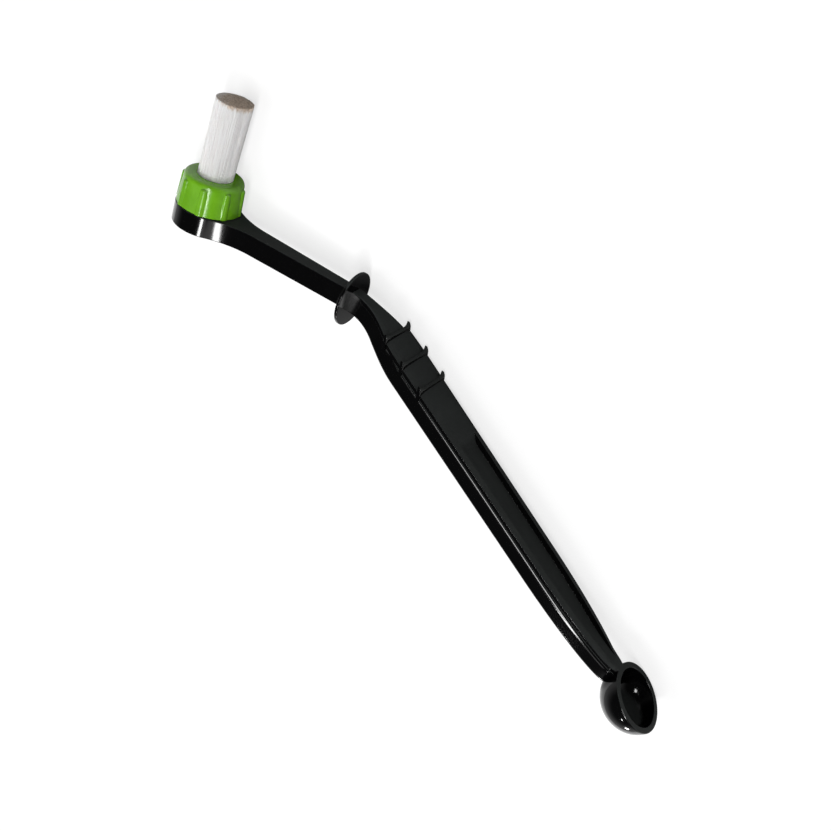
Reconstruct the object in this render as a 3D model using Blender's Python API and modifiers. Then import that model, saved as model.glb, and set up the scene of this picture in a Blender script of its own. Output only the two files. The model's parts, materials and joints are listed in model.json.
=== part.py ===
"""Group head brush: a one-piece handle with a drip guard and a measuring scoop, a screw collar,
and a bristle tuft in a flanged holder that the collar clamps to the head.

The tool is drawn in its own frame: the brush axis is +Z, the arm runs along +X, and the mirror
plane is y = 0, with z = 0 on top of the head plate. One empty then lays it on its side.
"""
import math
import random

import bmesh
import bpy
from mathutils import Matrix, Vector

# Clearances and joining
FIT_GAP = 0.0003
CUT_OVERRUN = 0.002
CUT_CLEARANCE = 0.00006
MERGE_DISTANCE = 0.000001

# Head plate and arm
PLATE_RADIUS = 0.01104
PLATE_THICKNESS = 0.0070
PLATE_EDGE = 0.0003
ARM_REACH = 0.0606
ARM_ROOT_HALF = 0.00395
ARM_TIP_HALF = 0.00242
ARM_BLEND_RADIUS = 0.027

# Drip guard
GUARD_RADIUS = 0.0093
GUARD_THICKNESS = 0.0011
GUARD_EDGE = 0.0003
GUARD_EMBED = 0.0004

# Bend behind the guard, where the grip drops away from the arm
BEND_AFTER_GUARD = 0.0079
BEND_RADIUS = 0.038
GRIP_DROP_DEG = 30.7

# Grip: half widths and thickness along it
GRIP_WIDE_HALF = 0.0087
GRIP_NARROW_HALF = 0.00815
NOSE_END_HALF = 0.0012
NOSE_INTO_RIM = 0.0025
NOSE_LIFT = 0.0006
NOSE_LIFT_LENGTH = 0.0060
FLARE_START = 0.0030
FLARE_LENGTH = 0.0290
TAPER_LENGTH = 0.0461
GRIP_THICKNESS = 0.0072
NECK_THINNING = 0.0002
NECK_LENGTH = 0.0300
NECK_BEVEL = 0.0020
NECK_BEVEL_DROP = 0.0007
GRIP_UNDER_ROUND = 0.0011

# Raised deck on the grip: it starts at the first finger ridge, over a narrower shoulder
DECK_BEVEL = 0.0028
DECK_BEVEL_DROP = 0.0002
NOSE_BEVEL_DROP = 0.0010
DECK_HEIGHT = 0.00145
DECK_START_INSET = 0.00095
DECK_SETTLE_LENGTH = 0.0120
SHOULDER_WIDTH = 0.00025
SHOULDER_ROUND = 0.0009
SHOULDER_START_WIDTH = 0.00006

# Finger ridges across the deck, upright like the guard
RIDGE_COUNT = 3
RIDGE_FIRST = 0.0202
RIDGE_PITCH = 0.0097
RIDGE_THICKNESS = 0.0015
RIDGE_CREST = 0.0006
RIDGE_TIP_HEIGHT = 0.0020
RIDGE_MIDDLE_HEIGHT = 0.0008
RIDGE_FOOT_DEPTH = 0.0021
RIDGE_HORN_INSET = 0.0006
RIDGE_HORN_LEAN_SHARE = 0.6

# Thumb channel in the deck
CHANNEL_START = 0.0588
CHANNEL_END_BEFORE_RIM = 0.0030
CHANNEL_DEPTH = 0.0020
CHANNEL_START_RAMP = 0.0060
CHANNEL_END_RAMP = 0.0160
CHANNEL_RIM_WIDTH = 0.0032

# Measuring scoop at the end of the grip
SCOOP_REACH = 0.1522
SCOOP_BELOW_DECK = 0.0005
SCOOP_TILT_DEG = 5.5
SCOOP_RIM_RADIUS = 0.01154
SCOOP_RIM_WIDTH = 0.0020
SCOOP_DEPTH = 0.0122
SCOOP_FLOOR = 0.0016
SCOOP_LIP = 0.0006

# Threaded spigot on the head plate, with the pocket for the tuft holder
SPIGOT_RADIUS = 0.0083
SPIGOT_HEIGHT = 0.0076
POCKET_DEPTH = 0.0020
SPIGOT_EDGE = 0.0003

# Tuft holder: a flanged cup
HOLDER_WALL = 0.0007
HOLDER_FLOOR = 0.0012
HOLDER_FLANGE_RADIUS = 0.0081
HOLDER_FLANGE_THICKNESS = 0.0015

# Bristle tuft
TUFT_RADIUS = 0.0060
TUFT_TIP_HEIGHT = 0.0372
TUFT_ROOT_THICKNESS = 0.0010
TUFT_RINGS = 11
TUFT_SPLAY_SHARE = 0.02
TUFT_CROWN = 0.0004
STRAND_RADIUS = 0.00021
STRAND_EMBED = 0.0005
TRIM_VARIATION = 0.0005

# Screw collar
COLLAR_HEIGHT = 0.0108
COLLAR_FOOT_RADIUS = 0.01085
COLLAR_TOP_RADIUS = 0.0100
COLLAR_ROUND = 0.0014
COLLAR_HOLE_CLEARANCE = 0.0005
COLLAR_RIBS = 8
COLLAR_RIB_RADIUS = 0.0013
COLLAR_RIB_TOP_RADIUS = 0.0009
COLLAR_RIB_HALF_WIDTH = 0.0017
COLLAR_RIB_CENTRE = 0.0100
COLLAR_RIB_HEIGHT = 0.0095
COLLAR_RIB_PHASE_DEG = 20.25

# Number of facets, and how close together the grip's sections lie
TURN_STEPS = 64
RIB_STEPS = 16
BOWL_STEPS = 10
ROUND_STEPS = 4
BLEND_STEPS = 10
CLOSE_STATION = 0.0018
MEDIUM_STATION = 0.0027
LONG_STATION = 0.0070

# Angles that part a smooth edge from a sharp one
SMOOTH_DEG = 35.0
BEVEL_DEG = 50.0
FLAT_DEG = 0.5


# Small helpers

def clear_scene():
    for old in list(bpy.data.objects):
        bpy.data.objects.remove(old, do_unlink=True)


def make_collection(name):
    collection = bpy.data.collections.new(name)
    bpy.context.scene.collection.children.link(collection)
    return collection


def make_material(name, colour, roughness, metallic=0.0):
    material = bpy.data.materials.new(name)
    material.use_nodes = True
    shader = material.node_tree.nodes["Principled BSDF"]
    shader.inputs["Base Color"].default_value = (*colour, 1.0)
    shader.inputs["Roughness"].default_value = roughness
    shader.inputs["Metallic"].default_value = metallic
    material.diffuse_color = (*colour, 1.0)
    return material


def add_object(name, mesh, collection, material=None):
    mesh.name = name
    mesh.shade_smooth()
    mesh.set_sharp_from_angle(angle=math.radians(SMOOTH_DEG))
    new = bpy.data.objects.new(name, mesh)
    collection.objects.link(new)
    if material is not None:
        mesh.materials.clear()
        mesh.materials.append(material)
    return new


def as_tool(item):
    """Marks an object that only joins or cuts another one."""
    item.hide_render = True
    item.display_type = "WIRE"
    return item


def boolean(target, tool, operation):
    modifier = target.modifiers.new(f"{operation.lower()} {tool.name}", "BOOLEAN")
    modifier.operation = operation
    modifier.solver = "EXACT"
    modifier.object = tool


def ease(share):
    """0 to 1 with level ends."""
    share = min(max(share, 0.0), 1.0)
    return (1.0 - math.cos(math.pi * share)) / 2.0


def arc(centre_x, centre_y, radius, start_deg, end_deg, steps):
    """Points on an arc, ends included."""
    turns = [math.radians(start_deg + (end_deg - start_deg) * i / steps) for i in range(steps + 1)]
    return [(centre_x + radius * math.cos(t), centre_y + radius * math.sin(t)) for t in turns]


def turned(name, profile, collection, material=None, closed=False, steps=TURN_STEPS):
    """A turned solid from (radius, height) points that run down its outer side."""
    mesh = bpy.data.meshes.new(name)
    count = len(profile)
    edges = [(i, i + 1) for i in range(count - 1)]
    if closed:
        edges.append((count - 1, 0))
    mesh.from_pydata([(radius, 0.0, height) for radius, height in profile], edges, [])
    new = add_object(name, mesh, collection, material)
    screw = new.modifiers.new("turn", "SCREW")
    screw.steps = steps
    screw.render_steps = steps
    screw.use_merge_vertices = True
    screw.merge_threshold = MERGE_DISTANCE
    screw.use_smooth_shade = True
    return new


def flat_plate(name, outline, thickness, collection, material=None):
    """A closed flat outline, extruded to a thickness about its own plane."""
    curve = bpy.data.curves.new(name, "CURVE")
    curve.dimensions = "2D"
    curve.fill_mode = "BOTH"
    curve.extrude = thickness / 2.0
    spline = curve.splines.new("POLY")
    spline.points.add(len(outline) - 1)
    for point, (x, y) in zip(spline.points, outline):
        point.co = (x, y, 0.0, 1.0)
    spline.use_cyclic_u = True
    source = bpy.data.objects.new(name, curve)
    collection.objects.link(source)
    depsgraph = bpy.context.evaluated_depsgraph_get()
    mesh = bpy.data.meshes.new_from_object(source.evaluated_get(depsgraph))
    bpy.data.objects.remove(source, do_unlink=True)
    bpy.data.curves.remove(curve)
    body = bmesh.new()
    body.from_mesh(mesh)
    bmesh.ops.remove_doubles(body, verts=body.verts, dist=MERGE_DISTANCE)
    bmesh.ops.dissolve_limit(
        body, angle_limit=math.radians(FLAT_DEG), verts=body.verts, edges=body.edges)
    bmesh.ops.recalc_face_normals(body, faces=body.faces)
    body.to_mesh(mesh)
    body.free()
    return add_object(name, mesh, collection, material)


# Where things lie in the mirror plane

def drop_direction():
    angle = math.radians(GRIP_DROP_DEG)
    return Vector((math.cos(angle), 0.0, -math.sin(angle)))


def up_from(direction):
    return Vector((-direction.z, 0.0, direction.x))


def bend_corner():
    return Vector((ARM_REACH + BEND_AFTER_GUARD, 0.0, 0.0))


def bend_turn():
    return math.radians(GRIP_DROP_DEG)


def bend_tangent():
    return BEND_RADIUS * math.tan(bend_turn() / 2.0)


def deck_path(distance):
    """Point and direction on the deck's middle line, at a distance behind the guard's middle."""
    straight = BEND_AFTER_GUARD - bend_tangent()
    pitch = min(max((distance - straight) / BEND_RADIUS, 0.0), bend_turn())
    direction = Vector((math.cos(pitch), 0.0, -math.sin(pitch)))
    centre = Vector((ARM_REACH + straight, 0.0, -BEND_RADIUS))
    off_bend = distance - straight - BEND_RADIUS * pitch
    return centre + up_from(direction) * BEND_RADIUS + direction * off_bend, direction


def path_to_corner():
    """Difference between a distance along the path and one from the bend's sharp corner."""
    return BEND_AFTER_GUARD + BEND_RADIUS * bend_turn() - bend_tangent() * 2.0


def scoop_centre():
    drop = drop_direction()
    return bend_corner() + drop * SCOOP_REACH - up_from(drop) * SCOOP_BELOW_DECK


def scoop_rotation():
    return Matrix.Rotation(math.radians(GRIP_DROP_DEG + SCOOP_TILT_DEG), 4, "Y")


def rim_distance():
    """Path distance at which the deck meets the scoop's rim."""
    return SCOOP_REACH + path_to_corner() - SCOOP_RIM_RADIUS


def nose_share(distance):
    """How far along its oval nose the grip is. The nose ends inside the scoop's rim."""
    return min(max((distance - taper_start()) / TAPER_LENGTH, 0.0), 1.0)


def taper_start():
    return rim_distance() + NOSE_INTO_RIM - TAPER_LENGTH


def nose_lift(distance):
    """Rise of the deck's last stretch, up to the near edge of the scoop's tilted rim."""
    return NOSE_LIFT * ease((distance - rim_distance() + NOSE_LIFT_LENGTH) / NOSE_LIFT_LENGTH)


def body_half(distance):
    """Half width of the grip below its deck: a flare, a slow taper, then an oval nose."""
    flare_end = FLARE_START + FLARE_LENGTH
    if distance < flare_end:
        share = ease((distance - FLARE_START) / FLARE_LENGTH)
        return ARM_TIP_HALF + (GRIP_WIDE_HALF - ARM_TIP_HALF) * share
    if distance < taper_start():
        share = (distance - flare_end) / (taper_start() - flare_end)
        return GRIP_WIDE_HALF + (GRIP_NARROW_HALF - GRIP_WIDE_HALF) * share
    return NOSE_END_HALF + (GRIP_NARROW_HALF - NOSE_END_HALF) * math.sqrt(1.0 - nose_share(distance) ** 2)


def deck_started(distance):
    return distance > RIDGE_FIRST


def deck_half(distance):
    """Half width over the deck's bevels. From the first ridge it runs out past the flare."""
    if not deck_started(distance):
        return body_half(distance) - SHOULDER_START_WIDTH
    if distance > FLARE_START + FLARE_LENGTH:
        return body_half(distance) - SHOULDER_WIDTH
    left = max(1.0 - (distance - RIDGE_FIRST) / DECK_SETTLE_LENGTH, 0.0)
    return GRIP_WIDE_HALF - SHOULDER_WIDTH - DECK_START_INSET * left ** 2


def neck_share(distance):
    """How far the neck has turned from the arm's section into the grip's."""
    return ease(distance / NECK_LENGTH)


def grip_thickness(distance):
    thinned = math.sin(math.pi * min(distance / NECK_LENGTH, 1.0)) ** 2
    grown = PLATE_THICKNESS + (GRIP_THICKNESS - PLATE_THICKNESS) * neck_share(distance)
    return grown - NECK_THINNING * thinned


def bevel_size(distance):
    """Width and drop of the deck's bevel, and before the deck of the neck's own."""
    if deck_started(distance):
        drop = DECK_BEVEL_DROP + (NOSE_BEVEL_DROP - DECK_BEVEL_DROP) * nose_share(distance) ** 2
        return DECK_BEVEL * deck_half(distance) / GRIP_WIDE_HALF, drop
    grown = ease(distance / RIDGE_FIRST)
    return PLATE_EDGE + (NECK_BEVEL - PLATE_EDGE) * grown, PLATE_EDGE + (NECK_BEVEL_DROP - PLATE_EDGE) * grown


def channel_half(distance):
    return max(deck_half(distance) - CHANNEL_RIM_WIDTH, SHOULDER_START_WIDTH)


# Handle

def grip_section(distance):
    """Half a section, from the deck's middle round to the underside's middle: (out, up) points."""
    half = deck_half(distance)
    thick = grip_thickness(distance)
    bevel, bevel_drop = bevel_size(distance)
    side = body_half(distance)
    rounding = SHOULDER_ROUND if deck_started(distance) else SHOULDER_START_WIDTH
    under = PLATE_EDGE + (GRIP_UNDER_ROUND - PLATE_EDGE) * neck_share(distance)
    top = nose_lift(distance)
    points = [(0.0, top), (half - bevel, top), (half, top - bevel_drop), (half, -DECK_HEIGHT)]
    for i in range(1, ROUND_STEPS + 1):
        turn = math.pi / 2.0 * i / ROUND_STEPS
        out = half + (side - half) * math.sin(turn)
        points.append((out, -DECK_HEIGHT - rounding * (1.0 - math.cos(turn))))
    for i in range(ROUND_STEPS + 1):
        turn = math.pi / 2.0 * i / ROUND_STEPS
        points.append((side - under * (1.0 - math.cos(turn)), under - thick - under * math.sin(turn)))
    points.append((0.0, -thick))
    return points


def even_stations(start, end, step):
    """Distances from start up to, but without, end."""
    count = max(1, round((end - start) / step))
    return [start + (end - start) * i / count for i in range(count)]


def grip_stations():
    """Distances behind the guard: close together where the shape changes."""
    last = rim_distance() + SCOOP_RIM_WIDTH + SCOOP_FLOOR
    flare_end = FLARE_START + FLARE_LENGTH
    nose_start = rim_distance() - SCOOP_RIM_WIDTH
    deck_start = RIDGE_FIRST + CUT_CLEARANCE
    stations = even_stations(GUARD_THICKNESS / 2.0 - GUARD_EMBED, RIDGE_FIRST, CLOSE_STATION)
    stations.append(RIDGE_FIRST)
    stations += even_stations(deck_start, flare_end + CLOSE_STATION, CLOSE_STATION)
    stations += even_stations(flare_end + CLOSE_STATION, taper_start(), LONG_STATION)
    stations += even_stations(taper_start(), nose_start, MEDIUM_STATION)
    stations += even_stations(nose_start, last, CLOSE_STATION / 2.0)
    return stations + [last]


def loft(name, sections, collection, material=None):
    """A closed skin through sections that all have the same number of points."""
    body = bmesh.new()
    rings = [[body.verts.new(point) for point in section] for section in sections]
    for first, second in zip(rings, rings[1:]):
        for i in range(len(first) - 1):
            body.faces.new((first[i], second[i], second[i + 1], first[i + 1]))
    body.faces.new(rings[0])
    body.faces.new(reversed(rings[-1]))
    mesh = bpy.data.meshes.new(name)
    body.to_mesh(mesh)
    body.free()
    return add_object(name, mesh, collection, material)


def mirror_across(item):
    mirror = item.modifiers.new("mirror", "MIRROR")
    mirror.use_axis = (False, True, False)
    mirror.use_clip = True
    mirror.merge_threshold = MERGE_DISTANCE
    return item


def section_in_place(distance, points):
    origin, direction = deck_path(distance)
    up = up_from(direction)
    side = Vector((0.0, 1.0, 0.0))
    return [origin + side * out + up * height for out, height in points]


def make_grip(collection):
    sections = [section_in_place(u, grip_section(u)) for u in grip_stations()]
    return mirror_across(loft("grip_body", sections, collection))


def arm_half(along):
    share = (along - PLATE_RADIUS) / (ARM_REACH - PLATE_RADIUS)
    return ARM_ROOT_HALF + (ARM_TIP_HALF - ARM_ROOT_HALF) * share


def make_plate_and_arm(collection, material):
    """The head's outline, extruded: a round plate blended into the arm by two hollow arcs."""
    reach = PLATE_RADIUS + ARM_BLEND_RADIUS
    blend_x = reach
    for _ in range(BLEND_STEPS):
        blend_y = arm_half(blend_x) + ARM_BLEND_RADIUS
        blend_x = math.sqrt(reach ** 2 - blend_y ** 2)
    tangent_deg = math.degrees(math.atan2(blend_y, blend_x))
    nose = arc(0.0, 0.0, PLATE_RADIUS, tangent_deg, 180.0, TURN_STEPS // 2)
    blend = arc(blend_x, blend_y, ARM_BLEND_RADIUS, -90.0, tangent_deg - 180.0, BLEND_STEPS)
    upper = [(ARM_REACH, arm_half(ARM_REACH))] + blend + nose[1:]
    outline = upper + [(x, -y) for x, y in reversed(upper[:-1])]
    new = flat_plate("handle", outline, PLATE_THICKNESS, collection, material)
    new.location = (0.0, 0.0, -PLATE_THICKNESS / 2.0)
    bevel = new.modifiers.new("edge", "BEVEL")
    bevel.width = PLATE_EDGE
    bevel.segments = 2
    bevel.limit_method = "ANGLE"
    bevel.angle_limit = math.radians(BEVEL_DEG)
    return new


def make_guard(collection):
    half = GUARD_THICKNESS / 2.0
    side = GUARD_RADIUS - GUARD_EDGE
    profile = [(0.0, half), (side, half), (GUARD_RADIUS, half - GUARD_EDGE),
               (GUARD_RADIUS, GUARD_EDGE - half), (side, -half), (0.0, -half)]
    guard = turned("drip_guard", profile, collection)
    guard.location = (ARM_REACH, 0.0, -PLATE_THICKNESS / 2.0)
    guard.rotation_euler = (0.0, math.pi / 2.0, 0.0)
    return guard


def make_ridge(index, collection):
    """An upright fin across the deck that runs down over the step. Its ends are horns that lean ahead."""
    distance = RIDGE_FIRST + RIDGE_PITCH * index
    side = deck_half(distance + CUT_CLEARANCE) + SHOULDER_WIDTH
    horn = RIDGE_TIP_HEIGHT - RIDGE_MIDDLE_HEIGHT
    top = []
    for i in range(BLEND_STEPS + 1):
        across = math.cos(math.pi * i / BLEND_STEPS)
        top.append(((side - RIDGE_HORN_INSET) * across, RIDGE_MIDDLE_HEIGHT + horn * across ** 6))
    outline = top + [(-side, -DECK_BEVEL_DROP), (-side, -RIDGE_FOOT_DEPTH)]
    outline += [(side, -RIDGE_FOOT_DEPTH), (side, -DECK_BEVEL_DROP)]
    ridge = flat_plate(f"finger_ridge_{index + 1}", outline, RIDGE_THICKNESS, collection)
    thinning = (RIDGE_THICKNESS - RIDGE_CREST) / (RIDGE_TIP_HEIGHT + RIDGE_FOOT_DEPTH)
    body = bmesh.new()
    body.from_mesh(ridge.data)
    bmesh.ops.triangulate(body, faces=body.faces[:])
    for vertex in body.verts:
        if vertex.co.z > 0.0:
            vertex.co.z -= (vertex.co.y + RIDGE_FOOT_DEPTH) * thinning
        vertex.co.z -= max(vertex.co.y - RIDGE_MIDDLE_HEIGHT, 0.0) * RIDGE_HORN_LEAN_SHARE
    body.to_mesh(ridge.data)
    body.free()
    ridge.location = deck_path(distance)[0]
    ridge.rotation_euler = (math.pi / 2.0, 0.0, math.pi / 2.0)
    return ridge


def make_channel_cutter(collection):
    """A long scoop cut into the deck, with a short ramp at its start and a long one at its end."""
    end = rim_distance() - CHANNEL_END_BEFORE_RIM
    last = end - CHANNEL_END_RAMP
    first = CHANNEL_START + CHANNEL_START_RAMP
    levels = []
    for i in range(ROUND_STEPS):
        share = i / ROUND_STEPS
        levels.append((CHANNEL_START + CHANNEL_START_RAMP * share, CHANNEL_DEPTH * ease(share)))
    for distance in even_stations(first, last, MEDIUM_STATION):
        levels.append((distance, CHANNEL_DEPTH))
    for i in range(BLEND_STEPS + 1):
        share = i / BLEND_STEPS
        levels.append((last + CHANNEL_END_RAMP * share, CHANNEL_DEPTH * (1.0 - share ** 2)))
    sections = []
    for distance, depth in levels:
        half = channel_half(distance)
        floor = CUT_CLEARANCE - depth + nose_lift(distance)
        points = [(0.0, CUT_OVERRUN), (half, CUT_OVERRUN), (half, floor), (0.0, floor)]
        sections.append(section_in_place(distance, points))
    return mirror_across(loft("thumb_channel_cut", sections, collection))


def bowl_profile(rim_radius, depth, steps):
    """A quarter oval from the rim down to the axis."""
    turns = [math.pi / 2.0 * i / steps for i in range(steps + 1)]
    points = [(rim_radius * math.cos(t), -depth * math.sin(t)) for t in turns]
    points[-1] = (0.0, -depth)
    return points


def make_scoop(collection):
    profile = [(0.0, 0.0), (SCOOP_RIM_RADIUS, 0.0), (SCOOP_RIM_RADIUS, -SCOOP_LIP)]
    below = bowl_profile(SCOOP_RIM_RADIUS, SCOOP_DEPTH - SCOOP_LIP, BOWL_STEPS)
    profile += [(radius, height - SCOOP_LIP) for radius, height in below[1:]]
    scoop = turned("scoop_body", profile, collection)
    scoop.location = scoop_centre()
    scoop.rotation_euler = scoop_rotation().to_euler()
    return scoop


def make_scoop_cutter(collection):
    """Hollows the bowl, and takes off what stands above its rim."""
    inner = SCOOP_RIM_RADIUS - SCOOP_RIM_WIDTH
    clear = SCOOP_RIM_RADIUS + CUT_CLEARANCE
    profile = [(0.0, CUT_OVERRUN), (clear, CUT_OVERRUN), (clear, 0.0)]
    profile += bowl_profile(inner, SCOOP_DEPTH - SCOOP_FLOOR, BOWL_STEPS)
    cutter = turned("scoop_hollow_cut", profile, collection)
    cutter.location = scoop_centre()
    cutter.rotation_euler = scoop_rotation().to_euler()
    return cutter


def holder_outer():
    return TUFT_RADIUS + FIT_GAP + HOLDER_WALL


def make_spigot(collection):
    top = SPIGOT_HEIGHT
    foot = -PLATE_THICKNESS / 2.0
    profile = [(0.0, top), (SPIGOT_RADIUS - SPIGOT_EDGE, top), (SPIGOT_RADIUS, top - SPIGOT_EDGE),
               (SPIGOT_RADIUS, foot), (0.0, foot)]
    return turned("spigot_body", profile, collection)


def make_pocket_cutter(collection):
    bore = holder_outer() + FIT_GAP
    profile = [(0.0, SPIGOT_HEIGHT + CUT_OVERRUN), (bore, SPIGOT_HEIGHT + CUT_OVERRUN),
               (bore, -POCKET_DEPTH), (0.0, -POCKET_DEPTH)]
    return turned("holder_pocket_cut", profile, collection)


def make_handle(parts, tools, material):
    handle = make_plate_and_arm(parts, material)
    joined = [make_grip(tools), make_guard(tools), make_scoop(tools), make_spigot(tools)]
    joined += [make_ridge(i, tools) for i in range(RIDGE_COUNT)]
    cut = [make_channel_cutter(tools), make_scoop_cutter(tools), make_pocket_cutter(tools)]
    for tool in joined:
        boolean(handle, as_tool(tool), "UNION")
    for tool in cut:
        boolean(handle, as_tool(tool), "DIFFERENCE")
    return handle, joined + cut


# Collar, holder and tuft

def flange_foot():
    return SPIGOT_HEIGHT + FIT_GAP


def lip_underside():
    return flange_foot() + HOLDER_FLANGE_THICKNESS + FIT_GAP


def make_collar(parts, tools, material):
    """A cap nut: a lip over the holder's flange, a plain bore, and ribs for the fingers."""
    foot = FIT_GAP
    top = foot + COLLAR_HEIGHT
    bore = SPIGOT_RADIUS + FIT_GAP
    hole = TUFT_RADIUS + COLLAR_HOLE_CLEARANCE
    under_lip = lip_underside()
    rounded = arc(COLLAR_TOP_RADIUS - COLLAR_ROUND, top - COLLAR_ROUND, COLLAR_ROUND, 90.0, 0.0, ROUND_STEPS)
    profile = [(hole, top)] + rounded + [(COLLAR_FOOT_RADIUS, foot), (bore, foot),
                                          (bore, under_lip), (hole, under_lip)]
    collar = turned("screw_collar", profile, parts, material, closed=True)
    dome_foot = COLLAR_RIB_HEIGHT - COLLAR_RIB_TOP_RADIUS
    dome = arc(0.0, dome_foot, COLLAR_RIB_TOP_RADIUS, 90.0, 0.0, ROUND_STEPS)
    rib_profile = [(0.0, dome[0][1])] + dome[1:] + [(COLLAR_RIB_RADIUS, foot), (0.0, foot)]
    made = []
    for i in range(COLLAR_RIBS):
        rib = turned(f"collar_rib_{i + 1}", rib_profile, tools, steps=RIB_STEPS)
        turn = math.radians(COLLAR_RIB_PHASE_DEG) + math.tau * i / COLLAR_RIBS
        rib.location = (COLLAR_RIB_CENTRE * math.cos(turn), COLLAR_RIB_CENTRE * math.sin(turn), 0.0)
        rib.rotation_euler = (0.0, 0.0, turn)
        rib.scale = (1.0, COLLAR_RIB_HALF_WIDTH / COLLAR_RIB_RADIUS, 1.0)
        boolean(collar, as_tool(rib), "UNION")
        made.append(rib)
    return collar, made


def holder_floor():
    """Height of the cup's inner floor."""
    return -POCKET_DEPTH + FIT_GAP + HOLDER_FLOOR


def make_holder(parts, material):
    top = flange_foot() + HOLDER_FLANGE_THICKNESS
    outer = holder_outer()
    inner = outer - HOLDER_WALL
    foot = holder_floor() - HOLDER_FLOOR
    profile = [(0.0, holder_floor()), (inner, holder_floor()), (inner, top), (HOLDER_FLANGE_RADIUS, top),
               (HOLDER_FLANGE_RADIUS, flange_foot()), (outer, flange_foot()), (outer, foot), (0.0, foot)]
    return turned("tuft_holder", profile, parts, material)


def make_tuft(parts, tools, material):
    """A root slice that carries rings of three-sided strands, trimmed a little unevenly."""
    root = holder_floor() + FIT_GAP
    profile = [(0.0, root + TUFT_ROOT_THICKNESS), (TUFT_RADIUS, root + TUFT_ROOT_THICKNESS),
               (TUFT_RADIUS, root), (0.0, root)]
    tuft = turned("bristle_tuft", profile, parts, material, steps=TURN_STEPS // 2)
    ring_pitch = (TUFT_RADIUS - STRAND_RADIUS) / TUFT_RINGS
    start = root + TUFT_ROOT_THICKNESS - STRAND_EMBED
    chance = random.Random(5)
    body = bmesh.new()
    for ring in range(TUFT_RINGS + 1):
        count = max(1, 6 * ring)
        for i in range(count):
            turn = math.tau * (i + 0.5 * (ring % 2)) / count
            outward = Vector((math.cos(turn), math.sin(turn), 0.0))
            radius = ring_pitch * ring
            share = ring / TUFT_RINGS
            tip_height = TUFT_TIP_HEIGHT - TUFT_CROWN * share ** 4 - TRIM_VARIATION * chance.random()
            foot = outward * radius + Vector((0.0, 0.0, start))
            tip = outward * radius * (1.0 + TUFT_SPLAY_SHARE) + Vector((0.0, 0.0, tip_height))
            along = tip - foot
            place = Matrix.Translation((foot + tip) / 2.0)
            place = place @ along.to_track_quat("Z", "X").to_matrix().to_4x4()
            bmesh.ops.create_cone(
                body, cap_ends=True, segments=3, radius1=STRAND_RADIUS, radius2=STRAND_RADIUS,
                depth=along.length, matrix=place)
    mesh = bpy.data.meshes.new("bristle_strands")
    body.to_mesh(mesh)
    body.free()
    strands = add_object("bristle_strands", mesh, tools)
    boolean(tuft, as_tool(strands), "UNION")
    return tuft, [strands]


# Laying the tool down

def world_points(items):
    depsgraph = bpy.context.evaluated_depsgraph_get()
    points = []
    for item in items:
        evaluated = item.evaluated_get(depsgraph)
        mesh = evaluated.to_mesh()
        points += [item.matrix_world @ vertex.co for vertex in mesh.vertices]
        evaluated.to_mesh_clear()
    return points


def volume_centre(items):
    """Centre of volume of closed meshes."""
    depsgraph = bpy.context.evaluated_depsgraph_get()
    total = 0.0
    moment = Vector()
    for item in items:
        evaluated = item.evaluated_get(depsgraph)
        mesh = evaluated.to_mesh()
        mesh.calc_loop_triangles()
        places = [item.matrix_world @ vertex.co for vertex in mesh.vertices]
        for triangle in mesh.loop_triangles:
            a, b, c = (places[i] for i in triangle.vertices)
            volume = a.dot(b.cross(c)) / 6.0
            total += volume
            moment += (a + b + c) * (volume / 4.0)
        evaluated.to_mesh_clear()
    return moment / total


def inside_triangle(point, corners, normal):
    a, b, c = corners
    for first, second in ((a, b), (b, c), (c, a)):
        if (second - first).cross(point - first).dot(normal) < 0.0:
            return False
    return True


def resting_normal(items):
    """Outward normal of the hull face that the tool lies on: stable, and nearest to its +Y side."""
    centre = volume_centre(items)
    hull = bmesh.new()
    for point in world_points(items):
        hull.verts.new(point)
    bmesh.ops.convex_hull(hull, input=hull.verts[:], use_existing_faces=False)
    bmesh.ops.triangulate(hull, faces=hull.faces[:])
    hull.normal_update()
    best = None
    for face in hull.faces:
        normal = face.normal.copy()
        corners = [vertex.co.copy() for vertex in face.verts]
        if (corners[0] - centre).dot(normal) < 0.0:
            normal.negate()
            corners.reverse()
        foot = centre - normal * (centre - corners[0]).dot(normal)
        if inside_triangle(foot, corners, normal) and (best is None or normal.y > best.y):
            best = normal
    hull.free()
    return best


def resting_matrix(items):
    """Turns the tool on to its side, head to scoop along +X, with its box's foot at the origin."""
    down = resting_normal(items)
    up = -down
    ahead = scoop_centre()
    ahead = (ahead - up * ahead.dot(up)).normalized()
    turn = Matrix((ahead, up.cross(ahead), up)).to_4x4()
    points = [turn @ point for point in world_points(items)]
    lows = [min(point[axis] for point in points) for axis in range(3)]
    highs = [max(point[axis] for point in points) for axis in range(3)]
    foot = Vector(((lows[0] + highs[0]) / 2.0, (lows[1] + highs[1]) / 2.0, lows[2]))
    return Matrix.Translation(-foot) @ turn


def add_empty(name, collection, parent=None):
    empty = bpy.data.objects.new(name, None)
    empty.empty_display_size = PLATE_RADIUS
    collection.objects.link(empty)
    empty.parent = parent
    return empty


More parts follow.
